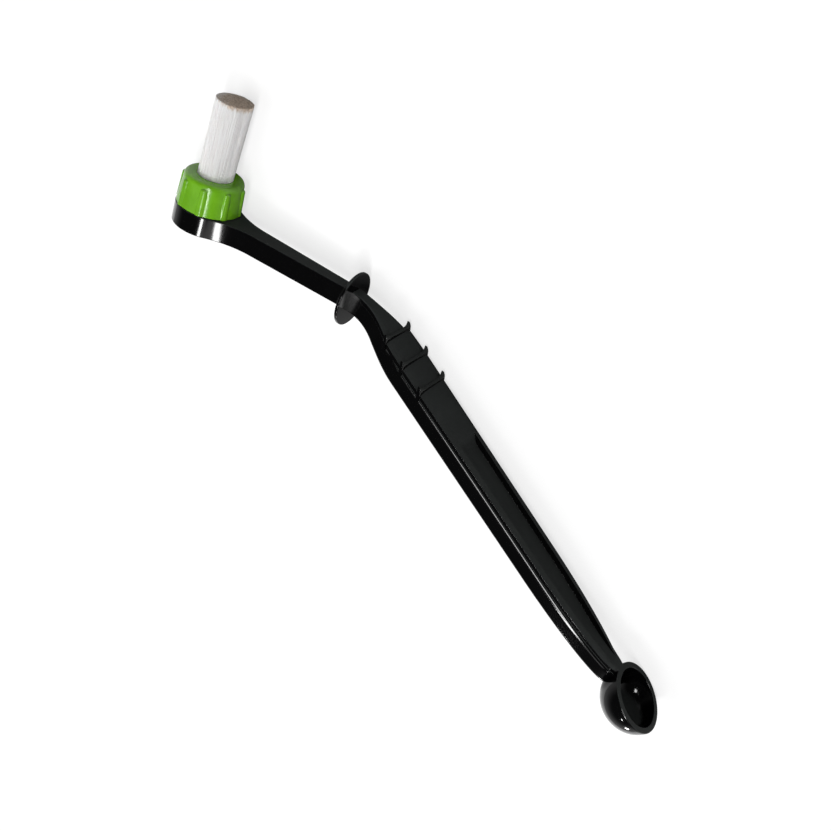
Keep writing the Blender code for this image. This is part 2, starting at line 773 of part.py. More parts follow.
def main():
    clear_scene()
    parts = make_collection("group_head_brush")
    tools = make_collection("joining_and_cutting_shapes")
    black = make_material("black_plastic", (0.012, 0.012, 0.013), 0.28)
    green = make_material("green_plastic", (0.16, 0.46, 0.012), 0.25)
    grey = make_material("holder_plastic", (0.55, 0.55, 0.52), 0.45)
    nylon = make_material("white_nylon", (0.86, 0.85, 0.82), 0.5)

    handle, handle_tools = make_handle(parts, tools, black)
    collar, collar_tools = make_collar(parts, tools, green)
    holder = make_holder(parts, grey)
    tuft, tuft_tools = make_tuft(parts, tools, nylon)

    frame = add_empty("tool_frame", parts)
    cartridge = add_empty("cartridge_axis", parts, frame)
    turning = add_empty("collar_axis", parts, cartridge)
    handle.parent = frame
    holder.parent = cartridge
    tuft.parent = cartridge
    collar.parent = turning
    for tool in handle_tools:
        tool.parent = frame
    for tool in tuft_tools:
        tool.parent = cartridge
    for tool in collar_tools:
        tool.parent = turning
    bpy.context.view_layer.update()
    frame.matrix_world = resting_matrix([handle, collar, holder, tuft])
    bpy.context.view_layer.update()


main()
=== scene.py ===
"""Looks of the group head brush: its moulded skins, its bristles, and the studio it lies in.

The tool lies on its side on the floor. Its pieces are drawn in the tool's own frame, where the
brush axis is +Z, the arm runs along +X and the mirror plane is y = 0, and are then laid in place.
"""

import json
import math
import random

import bmesh
import bpy
from mathutils import Matrix, Vector


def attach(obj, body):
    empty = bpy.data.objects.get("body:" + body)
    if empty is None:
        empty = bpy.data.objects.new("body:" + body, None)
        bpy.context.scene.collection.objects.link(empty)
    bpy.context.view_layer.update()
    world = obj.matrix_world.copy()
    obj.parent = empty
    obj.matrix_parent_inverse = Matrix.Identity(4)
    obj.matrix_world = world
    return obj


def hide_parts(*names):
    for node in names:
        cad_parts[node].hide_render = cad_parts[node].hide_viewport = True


# Camera, in the tool's frame
PHOTO_SIDE = 831
FOCAL_PIXELS = 1109.3
FILM_WIDTH = 36.0
CLIP_NEAR = 0.01
CLIP_FAR = 20.0
CAMERA_EYE = (0.1945, -0.2901, 0.1581)
CAMERA_AHEAD = (-0.2777, 0.8068, -0.5215)
CAMERA_UP = (-0.4936, 0.3459, 0.7979)

# Head plate and arm
PLATE_RADIUS = 0.01104
PLATE_THICKNESS = 0.0070
PLATE_EDGE = 0.0003
ARM_REACH = 0.0606
ARM_ROOT_HALF = 0.00395
ARM_TIP_HALF = 0.00242
ARM_BLEND_RADIUS = 0.027

# Drip guard
GUARD_RADIUS = 0.0093
GUARD_THICKNESS = 0.0011
GUARD_EDGE = 0.00035
GUARD_EMBED = 0.0004

# Bend behind the guard
BEND_AFTER_GUARD = 0.0079
BEND_RADIUS = 0.038
GRIP_DROP = math.radians(30.7)

# Grip and its raised deck
GRIP_WIDE_HALF = 0.0087
GRIP_NARROW_HALF = 0.00815
NOSE_END_HALF = 0.0012
NOSE_INTO_RIM = 0.0025
NOSE_LIFT = 0.0006
NOSE_LIFT_LENGTH = 0.0060
FLARE_START = 0.0030
FLARE_LENGTH = 0.0290
TAPER_LENGTH = 0.0461
GRIP_THICKNESS = 0.0072
NECK_THINNING = 0.0002
NECK_LENGTH = 0.0300
NECK_BEVEL = 0.0020
NECK_BEVEL_DROP = 0.0007
GRIP_UNDER_ROUND = 0.0011
DECK_BEVEL = 0.0028
DECK_BEVEL_DROP = 0.0004
NOSE_BEVEL_DROP = 0.0010
DECK_HEIGHT = 0.00145
DECK_START_INSET = 0.0006
DECK_SETTLE_LENGTH = 0.0120
DECK_EDGE = 0.00006
DECK_CROWN_SHARE = 0.4
SHOULDER_WIDTH = 0.00060
SHOULDER_ROUND = 0.0016
SHOULDER_START_WIDTH = 0.00006

# Finger ridges
RIDGE_COUNT = 3
RIDGE_FIRST = 0.0202
RIDGE_PITCH = 0.0097
RIDGE_THICKNESS = 0.0015
RIDGE_CREST = 0.0009
RIDGE_TIP_HEIGHT = 0.0020
RIDGE_MIDDLE_HEIGHT = 0.0008
RIDGE_FOOT_DEPTH = 0.0028
RIDGE_HORN_INSET = 0.0006
RIDGE_HORN_LEAN_SHARE = 0.6
RIDGE_HORN_POWER = 6
RIDGE_EDGE = 0.00014

# Thumb channel
CHANNEL_START = 0.0588
CHANNEL_END_BEFORE_RIM = 0.0030
CHANNEL_DEPTH = 0.0020
CHANNEL_START_RAMP = 0.0052
CHANNEL_END_RAMP = 0.0160
CHANNEL_RIM_WIDTH = 0.0025
CHANNEL_MOUTH_ROUND = 0.0001
CHANNEL_FLOOR_ROUND = 0.00003

# Measuring scoop
SCOOP_REACH = 0.1522
SCOOP_BELOW_DECK = 0.0005
SCOOP_TILT = math.radians(5.5)
SCOOP_RIM_RADIUS = 0.01154
SCOOP_RIM_WIDTH = 0.0020
SCOOP_RIM_EDGE = 0.0005
SCOOP_MOUTH_EDGE = 0.0003
SCOOP_DEPTH = 0.0122
SCOOP_FLOOR = 0.0016
SCOOP_LIP = 0.0006

# Spigot and its thread
SPIGOT_RADIUS = 0.0083
SPIGOT_HEIGHT = 0.0076
SPIGOT_EDGE = 0.0003
POCKET_RADIUS = 0.0073
POCKET_DEPTH = 0.0020
THREAD_PITCH = 0.0025
THREAD_START = 0.0013
THREAD_END = 0.0066
THREAD_CREST_RADIUS = 0.0085
THREAD_ROOT_RADIUS = 0.0082
THREAD_FLANK = 0.0005
THREAD_CREST_HALF = 0.00018
THREAD_RUN_OUT_TURNS = 0.25
THREAD_LEAST_SHARE = 0.1

# Screw collar
COLLAR_FOOT = 0.0003
COLLAR_HEIGHT = 0.0108
COLLAR_FOOT_RADIUS = 0.01085
COLLAR_TOP_RADIUS = 0.0100
COLLAR_ROUND = 0.0014
COLLAR_BORE_RADIUS = 0.0086
COLLAR_LIP_UNDERSIDE = 0.0097
COLLAR_HOLE_RADIUS = 0.00604
COLLAR_HOLE_EDGE = 0.00015
COLLAR_RIBS = 8
COLLAR_RIB_RADIUS = 0.0013
COLLAR_RIB_TOP_RADIUS = 0.0009
COLLAR_RIB_WIDTH_SHARE = 1.31
COLLAR_RIB_CENTRE = 0.0100
COLLAR_RIB_TOP = 0.0095
COLLAR_RIB_PHASE = math.radians(20.25)
COLLAR_RIB_FILLET = 0.00025
COLLAR_HOLE_MARGIN = 0.00045

# Bristle tuft
TUFT_FOOT = 0.0006
TUFT_TIP = 0.0383
TUFT_RADIUS = 0.0060
TUFT_LEAN = 0.0010
TUFT_SPLAY_SHARE = 0.05
TUFT_SPLAY_POWER = 1.5
TUFT_CROWN = 0.0009
TUFT_SEED = 11
STRAND_COUNT = 1500
STRAND_RADIUS = 0.00015
STRAND_SIDES = 5
STRAND_BENDS = 5
STRAND_WANDER = 0.00006
STRAND_HALF_WAVES = 1.3
TRIM_VARIATION = 0.0004

# How finely the pieces are drawn
TURN_STEPS = 160
NOSE_STEPS = 72
BLEND_STEPS = 28
BLEND_SETTLE_ROUNDS = 28
BOWL_STEPS = 28
ROUND_STEPS = 8
SOFT_STEPS = 4
EDGE_SEGMENTS = 4
MOST_CORNER_SHARE = 0.45
RIDGE_STEPS = 40
RIDGE_ROWS = 8
CLOSE_STATION = 0.0006
LONG_STATION = 0.0015
COLLAR_COLUMNS = 48
COLLAR_ROWS = 60
THREAD_STEPS = 64
MERGE_DISTANCE = 0.000001
SEAM_MERGE = 0.000004
CUT_OVERRUN = 0.002
CUT_CLEARANCE = 0.00006
SHARP_DEG = 32.0
STRAND_SHARP_DEG = 60.0
BEVEL_DEG = 50.0
FLAT_FACE_WEIGHT = 60

# Grain, scuffs and haze that the mouldings share
BROAD_GRAIN_SCALE = 0.02
DULL_GRAIN_RANGE = (0.35, 0.65)
SCUFF_SCALES = (260.0, 2600.0, 1900.0)
SCUFF_RANGE = (0.60, 0.76)
HAZE_SCALE = 95.0
HAZE_RANGE = (0.42, 0.68)

# Black plastic of the handle
POLISHED_BLACK = (0.0015, 0.0015, 0.0017, 1.0)
GRAINED_BLACK = (0.0440, 0.0480, 0.0468, 1.0)
UNRUBBED_SHADE = (0.88, 0.88, 0.88, 1.0)
RUBBED_SHADE = (1.0, 1.0, 1.0, 1.0)
POLISHED_ROUGHNESS = 0.13
POLISHED_HAZE_ROUGHNESS = 0.06
POLISHED_SCUFF_ROUGHNESS = 0.10
GRAINED_ROUGHNESS = 0.42
GRAINED_ROUGHNESS_SPREAD = 0.08
GRAIN_BEGINS = 0.58
GRAIN_FULL = 0.72
BOWL_EDGE_BLEND = 0.0003
END_DULLS_FROM = 0.80
END_DULL_AT = 0.92
END_COAT = 0.25
HANDLE_SPECULAR = 0.03
HANDLE_COAT_ROUGHNESS = 0.1
HANDLE_GRAIN_SIZE = 0.00022
HANDLE_GRAIN_RELIEF = (0.00003, 0.5)
POLISHED_GRAIN_SHARE = 0.01

# Green plastic of the collar
DEEP_GREEN = (0.150, 0.420, 0.010, 1.0)
CLOUDY_GREEN = (0.185, 0.490, 0.016, 1.0)
CLOUD_SCALE = 210.0
CLOUD_RANGE = (0.3, 0.7)
COLLAR_MARKS = 0.6
COLLAR_ROUGHNESS = 0.17
COLLAR_HAZE_ROUGHNESS = 0.07
COLLAR_SCUFF_ROUGHNESS = 0.12
COLLAR_GRAIN_SIZE = 0.00035
COLLAR_GRAIN_RELIEF = (0.00001, 0.25)

# Pale plastic of the tuft's holder
HOLDER_SHADE = (0.52, 0.52, 0.49, 1.0)
HOLDER_LIGHT = (0.58, 0.58, 0.55, 1.0)
HOLDER_ROUGHNESS = 0.4
HOLDER_ROUGHNESS_SPREAD = 0.1
HOLDER_GRAIN_SIZE = 0.00025
HOLDER_GRAIN_RELIEF = (0.00002, 0.4)

# Nylon filaments, their coffee stains, and fine streaks along them that are partly painted shade
# Darker end of the streaks: partly the filaments' own tone, partly painted shade as between filaments
NYLON_PAINTED_SHADE = (0.90, 0.865, 0.855, 1.0)
NYLON_LIGHT = (1.0, 0.99, 0.975, 1.0)
STAIN_DEEP = (0.54, 0.41, 0.31, 1.0)
STAIN_PALE = (0.84, 0.69, 0.56, 1.0)
STREAK_SCALES = (3000.0, 3000.0, 14.0)
STREAK_RANGE = (0.34, 0.62)
RAGGED_SCALES = (1400.0, 1400.0, 260.0)
MOTTLE_SCALE = 1100.0
MOTTLE_RANGE = (0.36, 0.64)
STAIN_RAGGEDNESS = 0.0034
STAIN_SLANT = 0.14
STAIN_BELOW_TIP = 0.0004
STAIN_PAST_TIP = 0.0014
NYLON_ROUGHNESS = 0.42
NYLON_STREAK_ROUGHNESS = -0.1
NYLON_STREAK_RELIEF = (0.00002, 0.3)
NYLON_CLOUDINESS = 0.4
NYLON_CLOUD_DEPTH = 0.001
NYLON_CLOUD_TINT = (1.0, 0.9, 0.8)

# Studio
FLOOR_HALF = 3.0
FLOOR_BELOW = 0.0001
FLOOR_PALE = (0.34, 0.34, 0.34, 1.0)
FLOOR_ROUGHNESS = 0.8
FLOOR_SPECULAR = 0.1
FLOOR_GLOW = 0.72
# Painted shadow in the floor's glow that polished surfaces mirror, close to the tool
FLOOR_SHADOW_REACH = 0.12
FLOOR_SHADOW_POWER = 5.0
FLOOR_SHADOW_SAMPLES = 8
WHITE = (1.0, 1.0, 1.0, 1.0)
ROOM_HORIZON = (0.45, 0.45, 0.45, 1.0)
ROOM_OVERHEAD = (0.03, 0.03, 0.03, 1.0)
ROOM_HORIZON_HEIGHT = 0.05
ROOM_OVERHEAD_HEIGHT = 0.65


# Where things lie in the mirror plane

def drop_direction():
    """The way the grip runs, from the bend down to the scoop."""
    return Vector((math.cos(GRIP_DROP), 0.0, -math.sin(GRIP_DROP)))


def up_from(direction):
    """Square to a direction in the mirror plane, on the deck's side."""
    return Vector((-direction.z, 0.0, direction.x))


def bend_tangent():
    """From the bend's corner to where its arc starts, and to where it ends."""
    return BEND_RADIUS * math.tan(GRIP_DROP / 2.0)


def deck_path(distance):
    """Point and direction on the deck's middle line, at a distance behind the guard's middle."""
    straight = BEND_AFTER_GUARD - bend_tangent()
    pitch = min(max((distance - straight) / BEND_RADIUS, 0.0), GRIP_DROP)
    direction = Vector((math.cos(pitch), 0.0, -math.sin(pitch)))
    centre = Vector((ARM_REACH + straight, 0.0, -BEND_RADIUS))
    off_bend = distance - straight - BEND_RADIUS * pitch
    return centre + up_from(direction) * BEND_RADIUS + direction * off_bend, direction


def section_in_place(distance, points):
    """A flat section's (out, up) points, set square across the deck's path."""
    origin, direction = deck_path(distance)
    up = up_from(direction)
    side = Vector((0.0, 1.0, 0.0))
    return [origin + side * out + up * height for out, height in points]


def scoop_place():
    """From the scoop's own frame, whose rim is its z = 0, to the tool's."""
    drop = drop_direction()
    corner = Vector((ARM_REACH + BEND_AFTER_GUARD, 0.0, 0.0))
    centre = corner + drop * SCOOP_REACH - up_from(drop) * SCOOP_BELOW_DECK
    return Matrix.Translation(centre) @ Matrix.Rotation(GRIP_DROP + SCOOP_TILT, 4, "Y")


def rim_distance():
    """Path distance at which the deck meets the scoop's rim."""
    bend = BEND_RADIUS * GRIP_DROP
    return SCOOP_REACH + BEND_AFTER_GUARD + bend - bend_tangent() * 2.0 - SCOOP_RIM_RADIUS


def taper_start():
    """Path distance at which the nose begins to narrow."""
    return rim_distance() + NOSE_INTO_RIM - TAPER_LENGTH


def nose_share(distance):
    """How far along the nose a section is, from 0 to 1."""
    return min(max((distance - taper_start()) / TAPER_LENGTH, 0.0), 1.0)


def nose_lift(distance):
    """Rise of the deck's last stretch, up to the near edge of the scoop's tilted rim."""
    return NOSE_LIFT * ease((distance - rim_distance() + NOSE_LIFT_LENGTH) / NOSE_LIFT_LENGTH)


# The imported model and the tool's own frame

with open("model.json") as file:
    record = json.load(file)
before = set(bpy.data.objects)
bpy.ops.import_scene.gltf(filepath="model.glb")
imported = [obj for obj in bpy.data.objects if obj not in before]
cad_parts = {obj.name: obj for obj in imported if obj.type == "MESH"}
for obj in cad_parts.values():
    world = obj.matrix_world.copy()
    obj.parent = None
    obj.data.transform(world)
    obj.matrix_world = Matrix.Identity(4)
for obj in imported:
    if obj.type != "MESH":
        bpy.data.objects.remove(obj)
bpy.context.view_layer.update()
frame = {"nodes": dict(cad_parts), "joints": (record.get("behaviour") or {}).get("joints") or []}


def tool_matrix():
    """Turns the tool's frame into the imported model's, where head and scoop lie at the same y."""
    collar_joint = next(joint for joint in frame["joints"] if joint["name"] == "collar_turn")
    origin = Vector(collar_joint["pos_m"])
    brush_axis = Vector(collar_joint["axis"]).normalized()
    level = Vector((1.0, 0.0, 0.0))
    level = (level - brush_axis * level.dot(brush_axis)).normalized()
    aside = brush_axis.cross(level)
    centre = scoop_place().translation
    middle = math.atan2(aside.y, level.y)
    swing = math.acos(-centre.z / centre.x * brush_axis.y / math.hypot(level.y, aside.y))
    turned_by = min(middle + swing, middle - swing, key=abs)
    along = level * math.cos(turned_by) + aside * math.sin(turned_by)
    turn = Matrix((along, brush_axis.cross(along), brush_axis)).transposed()
    return Matrix.Translation(origin) @ turn.to_4x4()


TOOL = tool_matrix()
TOOL_X, TOOL_Y, TOOL_Z = (TOOL.to_3x3() @ Vector(axis) for axis in ((1, 0, 0), (0, 1, 0), (0, 0, 1)))


# Node trees

def new_material(name):
    material = bpy.data.materials.new(name)
    material.use_nodes = True
    return material, material.node_tree, material.node_tree.nodes["Principled BSDF"]


def set_shader(shader, **values):
    """Values that are the same all over a surface, on the shader's own sockets."""
    for name, value in values.items():
        shader.inputs[name.replace("_", " ").title().replace("Ior", "IOR")].default_value = value


def add_node(tree, kind, **settings):
    """A new shader node. Kind is its type without the ShaderNode that all begin with."""
    node = tree.nodes.new(f"ShaderNode{kind}")
    for name, value in settings.items():
        setattr(node, name, value)
    return node


def feed(tree, source, target):
    """Links a socket, or sets a plain value."""
    if isinstance(source, bpy.types.NodeSocket):
        tree.links.new(source, target)
    else:
        target.default_value = source


def math_node(tree, operation, first, second=0.0, third=0.0):
    node = add_node(tree, "Math", operation=operation)
    for value, socket in zip((first, second, third), node.inputs):
        feed(tree, value, socket)
    return node.outputs[0]


def vector_node(tree, operation, first, second):
    node = add_node(tree, "VectorMath", operation=operation)
    feed(tree, first, node.inputs[0])
    feed(tree, second, node.inputs[1])
    return node.outputs["Value"] if operation in ("DOT_PRODUCT", "DISTANCE") else node.outputs["Vector"]


def noise(tree, position, scale, detail, roughness):
    node = add_node(tree, "TexNoise")
    feed(tree, position, node.inputs["Vector"])
    node.inputs["Scale"].default_value = scale
    node.inputs["Detail"].default_value = detail
    node.inputs["Roughness"].default_value = roughness
    return node.outputs["Fac"]


def between(tree, value, low, high, to_low=0.0, to_high=1.0):
    """Maps a value smoothly from one range to another, and holds it at both ends."""
    node = add_node(tree, "MapRange", interpolation_type="SMOOTHSTEP")
    for source, socket in zip((value, low, high, to_low, to_high), node.inputs):
        feed(tree, source, socket)
    return node.outputs["Result"]


def mix_colour(tree, factor, first, second, blend="MIX"):
    node = add_node(tree, "Mix", data_type="RGBA", blend_type=blend)
    feed(tree, factor, node.inputs[0])
    feed(tree, first, node.inputs[6])
    feed(tree, second, node.inputs[7])
    return node.outputs[2]


def new_group(name, inputs, outputs):
    """A shader node group. Its inputs are (name, kind, default), and its outputs (name, kind)."""
    tree = bpy.data.node_groups.new(name, "ShaderNodeTree")
    for label, kind, default in inputs:
        socket = tree.interface.new_socket(label, in_out="INPUT", socket_type=f"NodeSocket{kind}")
        if default is not None:
            socket.default_value = default
    for label, kind in outputs:
        tree.interface.new_socket(label, in_out="OUTPUT", socket_type=f"NodeSocket{kind}")
    return tree, tree.nodes.new("NodeGroupInput").outputs, tree.nodes.new("NodeGroupOutput").inputs


def place_group(tree, group, **values):
    node = add_node(tree, "Group")
    node.node_tree = group
    for name, value in values.items():
        feed(tree, value, node.inputs[name.replace("_", " ").title()])
    return node.outputs


def make_in_tool_frame():
    """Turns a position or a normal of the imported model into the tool's own directions."""
    tree, given, out = new_group("in_tool_frame", [("Vector", "Vector", None)], [("Vector", "Vector")])
    parts = add_node(tree, "CombineXYZ")
    for axis, socket in zip((TOOL_X, TOOL_Y, TOOL_Z), parts.inputs):
        feed(tree, vector_node(tree, "DOT_PRODUCT", given["Vector"], tuple(axis)), socket)
    feed(tree, parts.outputs[0], out["Vector"])
    return tree


def make_moulded_grain():
    """The fine spark-eroded texture of a mould: a height, and a mask of its duller grains."""
    tree, given, out = new_group(
        "moulded_grain",
        [("Position", "Vector", None), ("Grain Size", "Float", 0.0002)],
        [("Height", "Float"), ("Dullness", "Float")])
    per_metre = math_node(tree, "DIVIDE", 1.0, given["Grain Size"])
    scaled = add_node(tree, "VectorMath", operation="SCALE")
    feed(tree, given["Position"], scaled.inputs[0])
    feed(tree, per_metre, scaled.inputs["Scale"])
    fine = noise(tree, scaled.outputs[0], 1.0, 3.0, 0.6)
    broad = noise(tree, scaled.outputs[0], BROAD_GRAIN_SCALE, 2.0, 0.5)
    feed(tree, fine, out["Height"])
    feed(tree, between(tree, broad, *DULL_GRAIN_RANGE), out["Dullness"])
    return tree


def make_handling_marks():
    """Fine scuffs along the tool, and hazy patches where fingers rub it."""
    tree, given, out = new_group(
        "handling_marks",
        [("Position", "Vector", None), ("Amount", "Float", 1.0)],
        [("Scuffs", "Float"), ("Haze", "Float")])
    stretched = vector_node(tree, "MULTIPLY", given["Position"], SCUFF_SCALES)
    lines = between(tree, noise(tree, stretched, 1.0, 4.0, 0.65), *SCUFF_RANGE)
    patches = between(tree, noise(tree, given["Position"], HAZE_SCALE, 3.0, 0.55), *HAZE_RANGE)
    feed(tree, math_node(tree, "MULTIPLY", lines, given["Amount"]), out["Scuffs"])
    feed(tree, math_node(tree, "MULTIPLY", patches, given["Amount"]), out["Haze"])
    return tree


IN_TOOL_FRAME = make_in_tool_frame()
MOULDED_GRAIN = make_moulded_grain()
HANDLING_MARKS = make_handling_marks()


def turned_to_tool(tree, output):
    """The surface's position ("Object") or normal ("Normal"), in the tool's own directions."""
    source = add_node(tree, "TexCoord")
    return place_group(tree, IN_TOOL_FRAME, vector=source.outputs[output])["Vector"]


def tool_point(tree, turned_position):
    """A turned position, measured from the tool's own origin."""
    shift = tuple(-TOOL.translation.dot(axis) for axis in (TOOL_X, TOOL_Y, TOOL_Z))
    return vector_node(tree, "ADD", turned_position, shift)


def raise_surface(tree, shader, height, relief):
    """A bump from a height between 0 and 1. A relief is how deep it is, and how strongly it shows."""
    bump = add_node(tree, "Bump")
    bump.inputs["Distance"].default_value, bump.inputs["Strength"].default_value = relief
    feed(tree, height, bump.inputs["Height"])
    feed(tree, bump.outputs["Normal"], shader.inputs["Normal"])


# Finishes

def handle_grain_mask(tree, position, normal):
    """1 where the mould was grained: on what faces up from the deck, but not in the scoop's bowl."""
    half_drop = GRIP_DROP / 2.0
    deck_way = (math.sin(half_drop), 0.0, math.cos(half_drop))
    facing = between(tree, vector_node(tree, "DOT_PRODUCT", normal, deck_way), GRAIN_BEGINS, GRAIN_FULL)
    bowl_centre = tuple(scoop_place().translation)
    bowl_radius = SCOOP_RIM_RADIUS - SCOOP_RIM_WIDTH
    from_bowl = vector_node(tree, "DISTANCE", tool_point(tree, position), bowl_centre)
    outside_bowl = between(tree, from_bowl, bowl_radius - BOWL_EDGE_BLEND, bowl_radius)
    return math_node(tree, "MULTIPLY", facing, outside_bowl)


def polish_off_ends(tree, normal):
    """Less coat on what faces along the tool, at the head's and the scoop's ends."""
    half_drop = GRIP_DROP / 2.0
    end_way = (math.cos(half_drop), 0.0, -math.sin(half_drop))
    to_end = math_node(tree, "ABSOLUTE", vector_node(tree, "DOT_PRODUCT", normal, end_way))
    return between(tree, to_end, END_DULLS_FROM, END_DULL_AT, 1.0, END_COAT)


def make_handle_plastic():
    """Black moulded plastic: polished sides, and a fine dull grain on what faces up from the deck."""
    material, tree, shader = new_material("handle_plastic_skin")
    position = turned_to_tool(tree, "Object")
    normal = turned_to_tool(tree, "Normal")
    grained = handle_grain_mask(tree, position, normal)
    grain = place_group(tree, MOULDED_GRAIN, position=position, grain_size=HANDLE_GRAIN_SIZE)
    marks = place_group(tree, HANDLING_MARKS, position=position, amount=1.0)
    dull = math_node(tree, "MULTIPLY_ADD", grain["Dullness"], GRAINED_ROUGHNESS_SPREAD, GRAINED_ROUGHNESS)
    polished = math_node(tree, "MULTIPLY_ADD", marks["Haze"], POLISHED_HAZE_ROUGHNESS, POLISHED_ROUGHNESS)
    polished = math_node(tree, "MULTIPLY_ADD", marks["Scuffs"], POLISHED_SCUFF_ROUGHNESS, polished)
    mixed = add_node(tree, "Mix", data_type="FLOAT")
    feed(tree, grained, mixed.inputs[0])
    feed(tree, polished, mixed.inputs[2])
    feed(tree, dull, mixed.inputs[3])
    feed(tree, mixed.outputs[0], shader.inputs["Roughness"])
    tone = mix_colour(tree, grained, POLISHED_BLACK, GRAINED_BLACK)
    shade = mix_colour(tree, marks["Haze"], UNRUBBED_SHADE, RUBBED_SHADE)
    feed(tree, mix_colour(tree, 1.0, tone, shade, "MULTIPLY"), shader.inputs["Base Color"])
    smooth = math_node(tree, "SUBTRACT", 1.0, grained)
    polish = math_node(tree, "MULTIPLY", smooth, polish_off_ends(tree, normal))
    feed(tree, polish, shader.inputs["Coat Weight"])
    set_shader(shader, specular_ior_level=HANDLE_SPECULAR, coat_roughness=HANDLE_COAT_ROUGHNESS)
    depth = math_node(tree, "MULTIPLY_ADD", grained, 1.0 - POLISHED_GRAIN_SHARE, POLISHED_GRAIN_SHARE)
    height = math_node(tree, "MULTIPLY", grain["Height"], depth)
    raise_surface(tree, shader, height, HANDLE_GRAIN_RELIEF)
    return material


def make_collar_plastic():
    """Green moulded plastic, faintly cloudy as such a translucent moulding is."""
    material, tree, shader = new_material("collar_plastic_skin")
    position = turned_to_tool(tree, "Object")
    marks = place_group(tree, HANDLING_MARKS, position=position, amount=COLLAR_MARKS)
    grain = place_group(tree, MOULDED_GRAIN, position=position, grain_size=COLLAR_GRAIN_SIZE)
    cloud = between(tree, noise(tree, position, CLOUD_SCALE, 3.0, 0.55), *CLOUD_RANGE)
    feed(tree, mix_colour(tree, cloud, DEEP_GREEN, CLOUDY_GREEN), shader.inputs["Base Color"])
    rough = math_node(tree, "MULTIPLY_ADD", marks["Haze"], COLLAR_HAZE_ROUGHNESS, COLLAR_ROUGHNESS)
    rough = math_node(tree, "MULTIPLY_ADD", marks["Scuffs"], COLLAR_SCUFF_ROUGHNESS, rough)
    feed(tree, rough, shader.inputs["Roughness"])
    raise_surface(tree, shader, grain["Height"], COLLAR_GRAIN_RELIEF)
    return material


def make_holder_plastic():
    """Pale satin plastic of the cup that holds the filaments."""
    material, tree, shader = new_material("holder_plastic_skin")
    position = turned_to_tool(tree, "Object")
    grain = place_group(tree, MOULDED_GRAIN, position=position, grain_size=HOLDER_GRAIN_SIZE)
    feed(tree, mix_colour(tree, grain["Dullness"], HOLDER_SHADE, HOLDER_LIGHT), shader.inputs["Base Color"])
    rough = math_node(tree, "MULTIPLY_ADD", grain["Dullness"], HOLDER_ROUGHNESS_SPREAD, HOLDER_ROUGHNESS)
    feed(tree, rough, shader.inputs["Roughness"])
    raise_surface(tree, shader, grain["Height"], HOLDER_GRAIN_RELIEF)
    return material


def stain_mask(tree, local):
    """1 where coffee has stained the tips: a ragged line that reaches lower on one side."""
    parts = add_node(tree, "SeparateXYZ")
    feed(tree, local, parts.inputs[0])
    ragged = noise(tree, vector_node(tree, "MULTIPLY", local, RAGGED_SCALES), 1.0, 3.0, 0.6)
    reach = math_node(tree, "MULTIPLY_ADD", ragged, STAIN_RAGGEDNESS, parts.outputs[2])
    reach = math_node(tree, "MULTIPLY_ADD", parts.outputs[0], STAIN_SLANT, reach)
    return between(tree, reach, TUFT_TIP - STAIN_BELOW_TIP, TUFT_TIP + STAIN_PAST_TIP)


def make_bristles():
    """White nylon filaments with fine streaks, partly their own tone and partly painted shade as between
    filaments, and coffee stains at the tips.
    """
    material, tree, shader = new_material("nylon_filaments")
    local = tool_point(tree, turned_to_tool(tree, "Object"))
    # Fine streaks along the filaments: partly their own tone, partly painted shade as between filaments;
    # they also roughen and raise the surface
    lines = noise(tree, vector_node(tree, "MULTIPLY", local, STREAK_SCALES), 1.0, 2.0, 0.5)
    streak = between(tree, lines, *STREAK_RANGE)
    white = mix_colour(tree, streak, NYLON_PAINTED_SHADE, NYLON_LIGHT)
    mottle = between(tree, noise(tree, local, MOTTLE_SCALE, 4.0, 0.7), *MOTTLE_RANGE)
    stain = mix_colour(tree, mottle, STAIN_DEEP, STAIN_PALE)
    feed(tree, mix_colour(tree, stain_mask(tree, local), white, stain), shader.inputs["Base Color"])
    rough = math_node(tree, "MULTIPLY_ADD", streak, NYLON_STREAK_ROUGHNESS, NYLON_ROUGHNESS)
    feed(tree, rough, shader.inputs["Roughness"])
    set_shader(shader, subsurface_weight=NYLON_CLOUDINESS, subsurface_scale=NYLON_CLOUD_DEPTH)
    set_shader(shader, subsurface_radius=NYLON_CLOUD_TINT)
    raise_surface(tree, shader, lines, NYLON_STREAK_RELIEF)
    return material


def dress(name, material):
    """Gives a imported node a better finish."""
    for slot in frame["nodes"][name].material_slots:
        slot.material = material


def new_piece(name, mesh, material, body, replaced=None, smooth_deg=SHARP_DEG):
    """A finished piece: laid in place, shaded, riding its body, and named for what it stands for."""
    mesh.transform(TOOL)
    mesh.shade_smooth()
    mesh.set_sharp_from_angle(angle=math.radians(smooth_deg))
    mesh.materials.clear()
    mesh.materials.append(material)
    piece = bpy.data.objects.new(name, mesh)
    bpy.context.scene.collection.objects.link(piece)
    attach(piece, body)
    if replaced is not None:
        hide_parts(replaced)
    return piece


# Lines, and the meshes that they draw

def ease(share):
    """0 to 1 with level ends."""
    share = min(max(share, 0.0), 1.0)
    return (1.0 - math.cos(math.pi * share)) / 2.0


def arc(centre_x, centre_y, radius, start_deg, end_deg, steps):
    """Points on an arc, ends included."""
    turns = [math.radians(start_deg + (end_deg - start_deg) * i / steps) for i in range(steps + 1)]
    return [(centre_x + radius * math.cos(t), centre_y + radius * math.sin(t)) for t in turns]


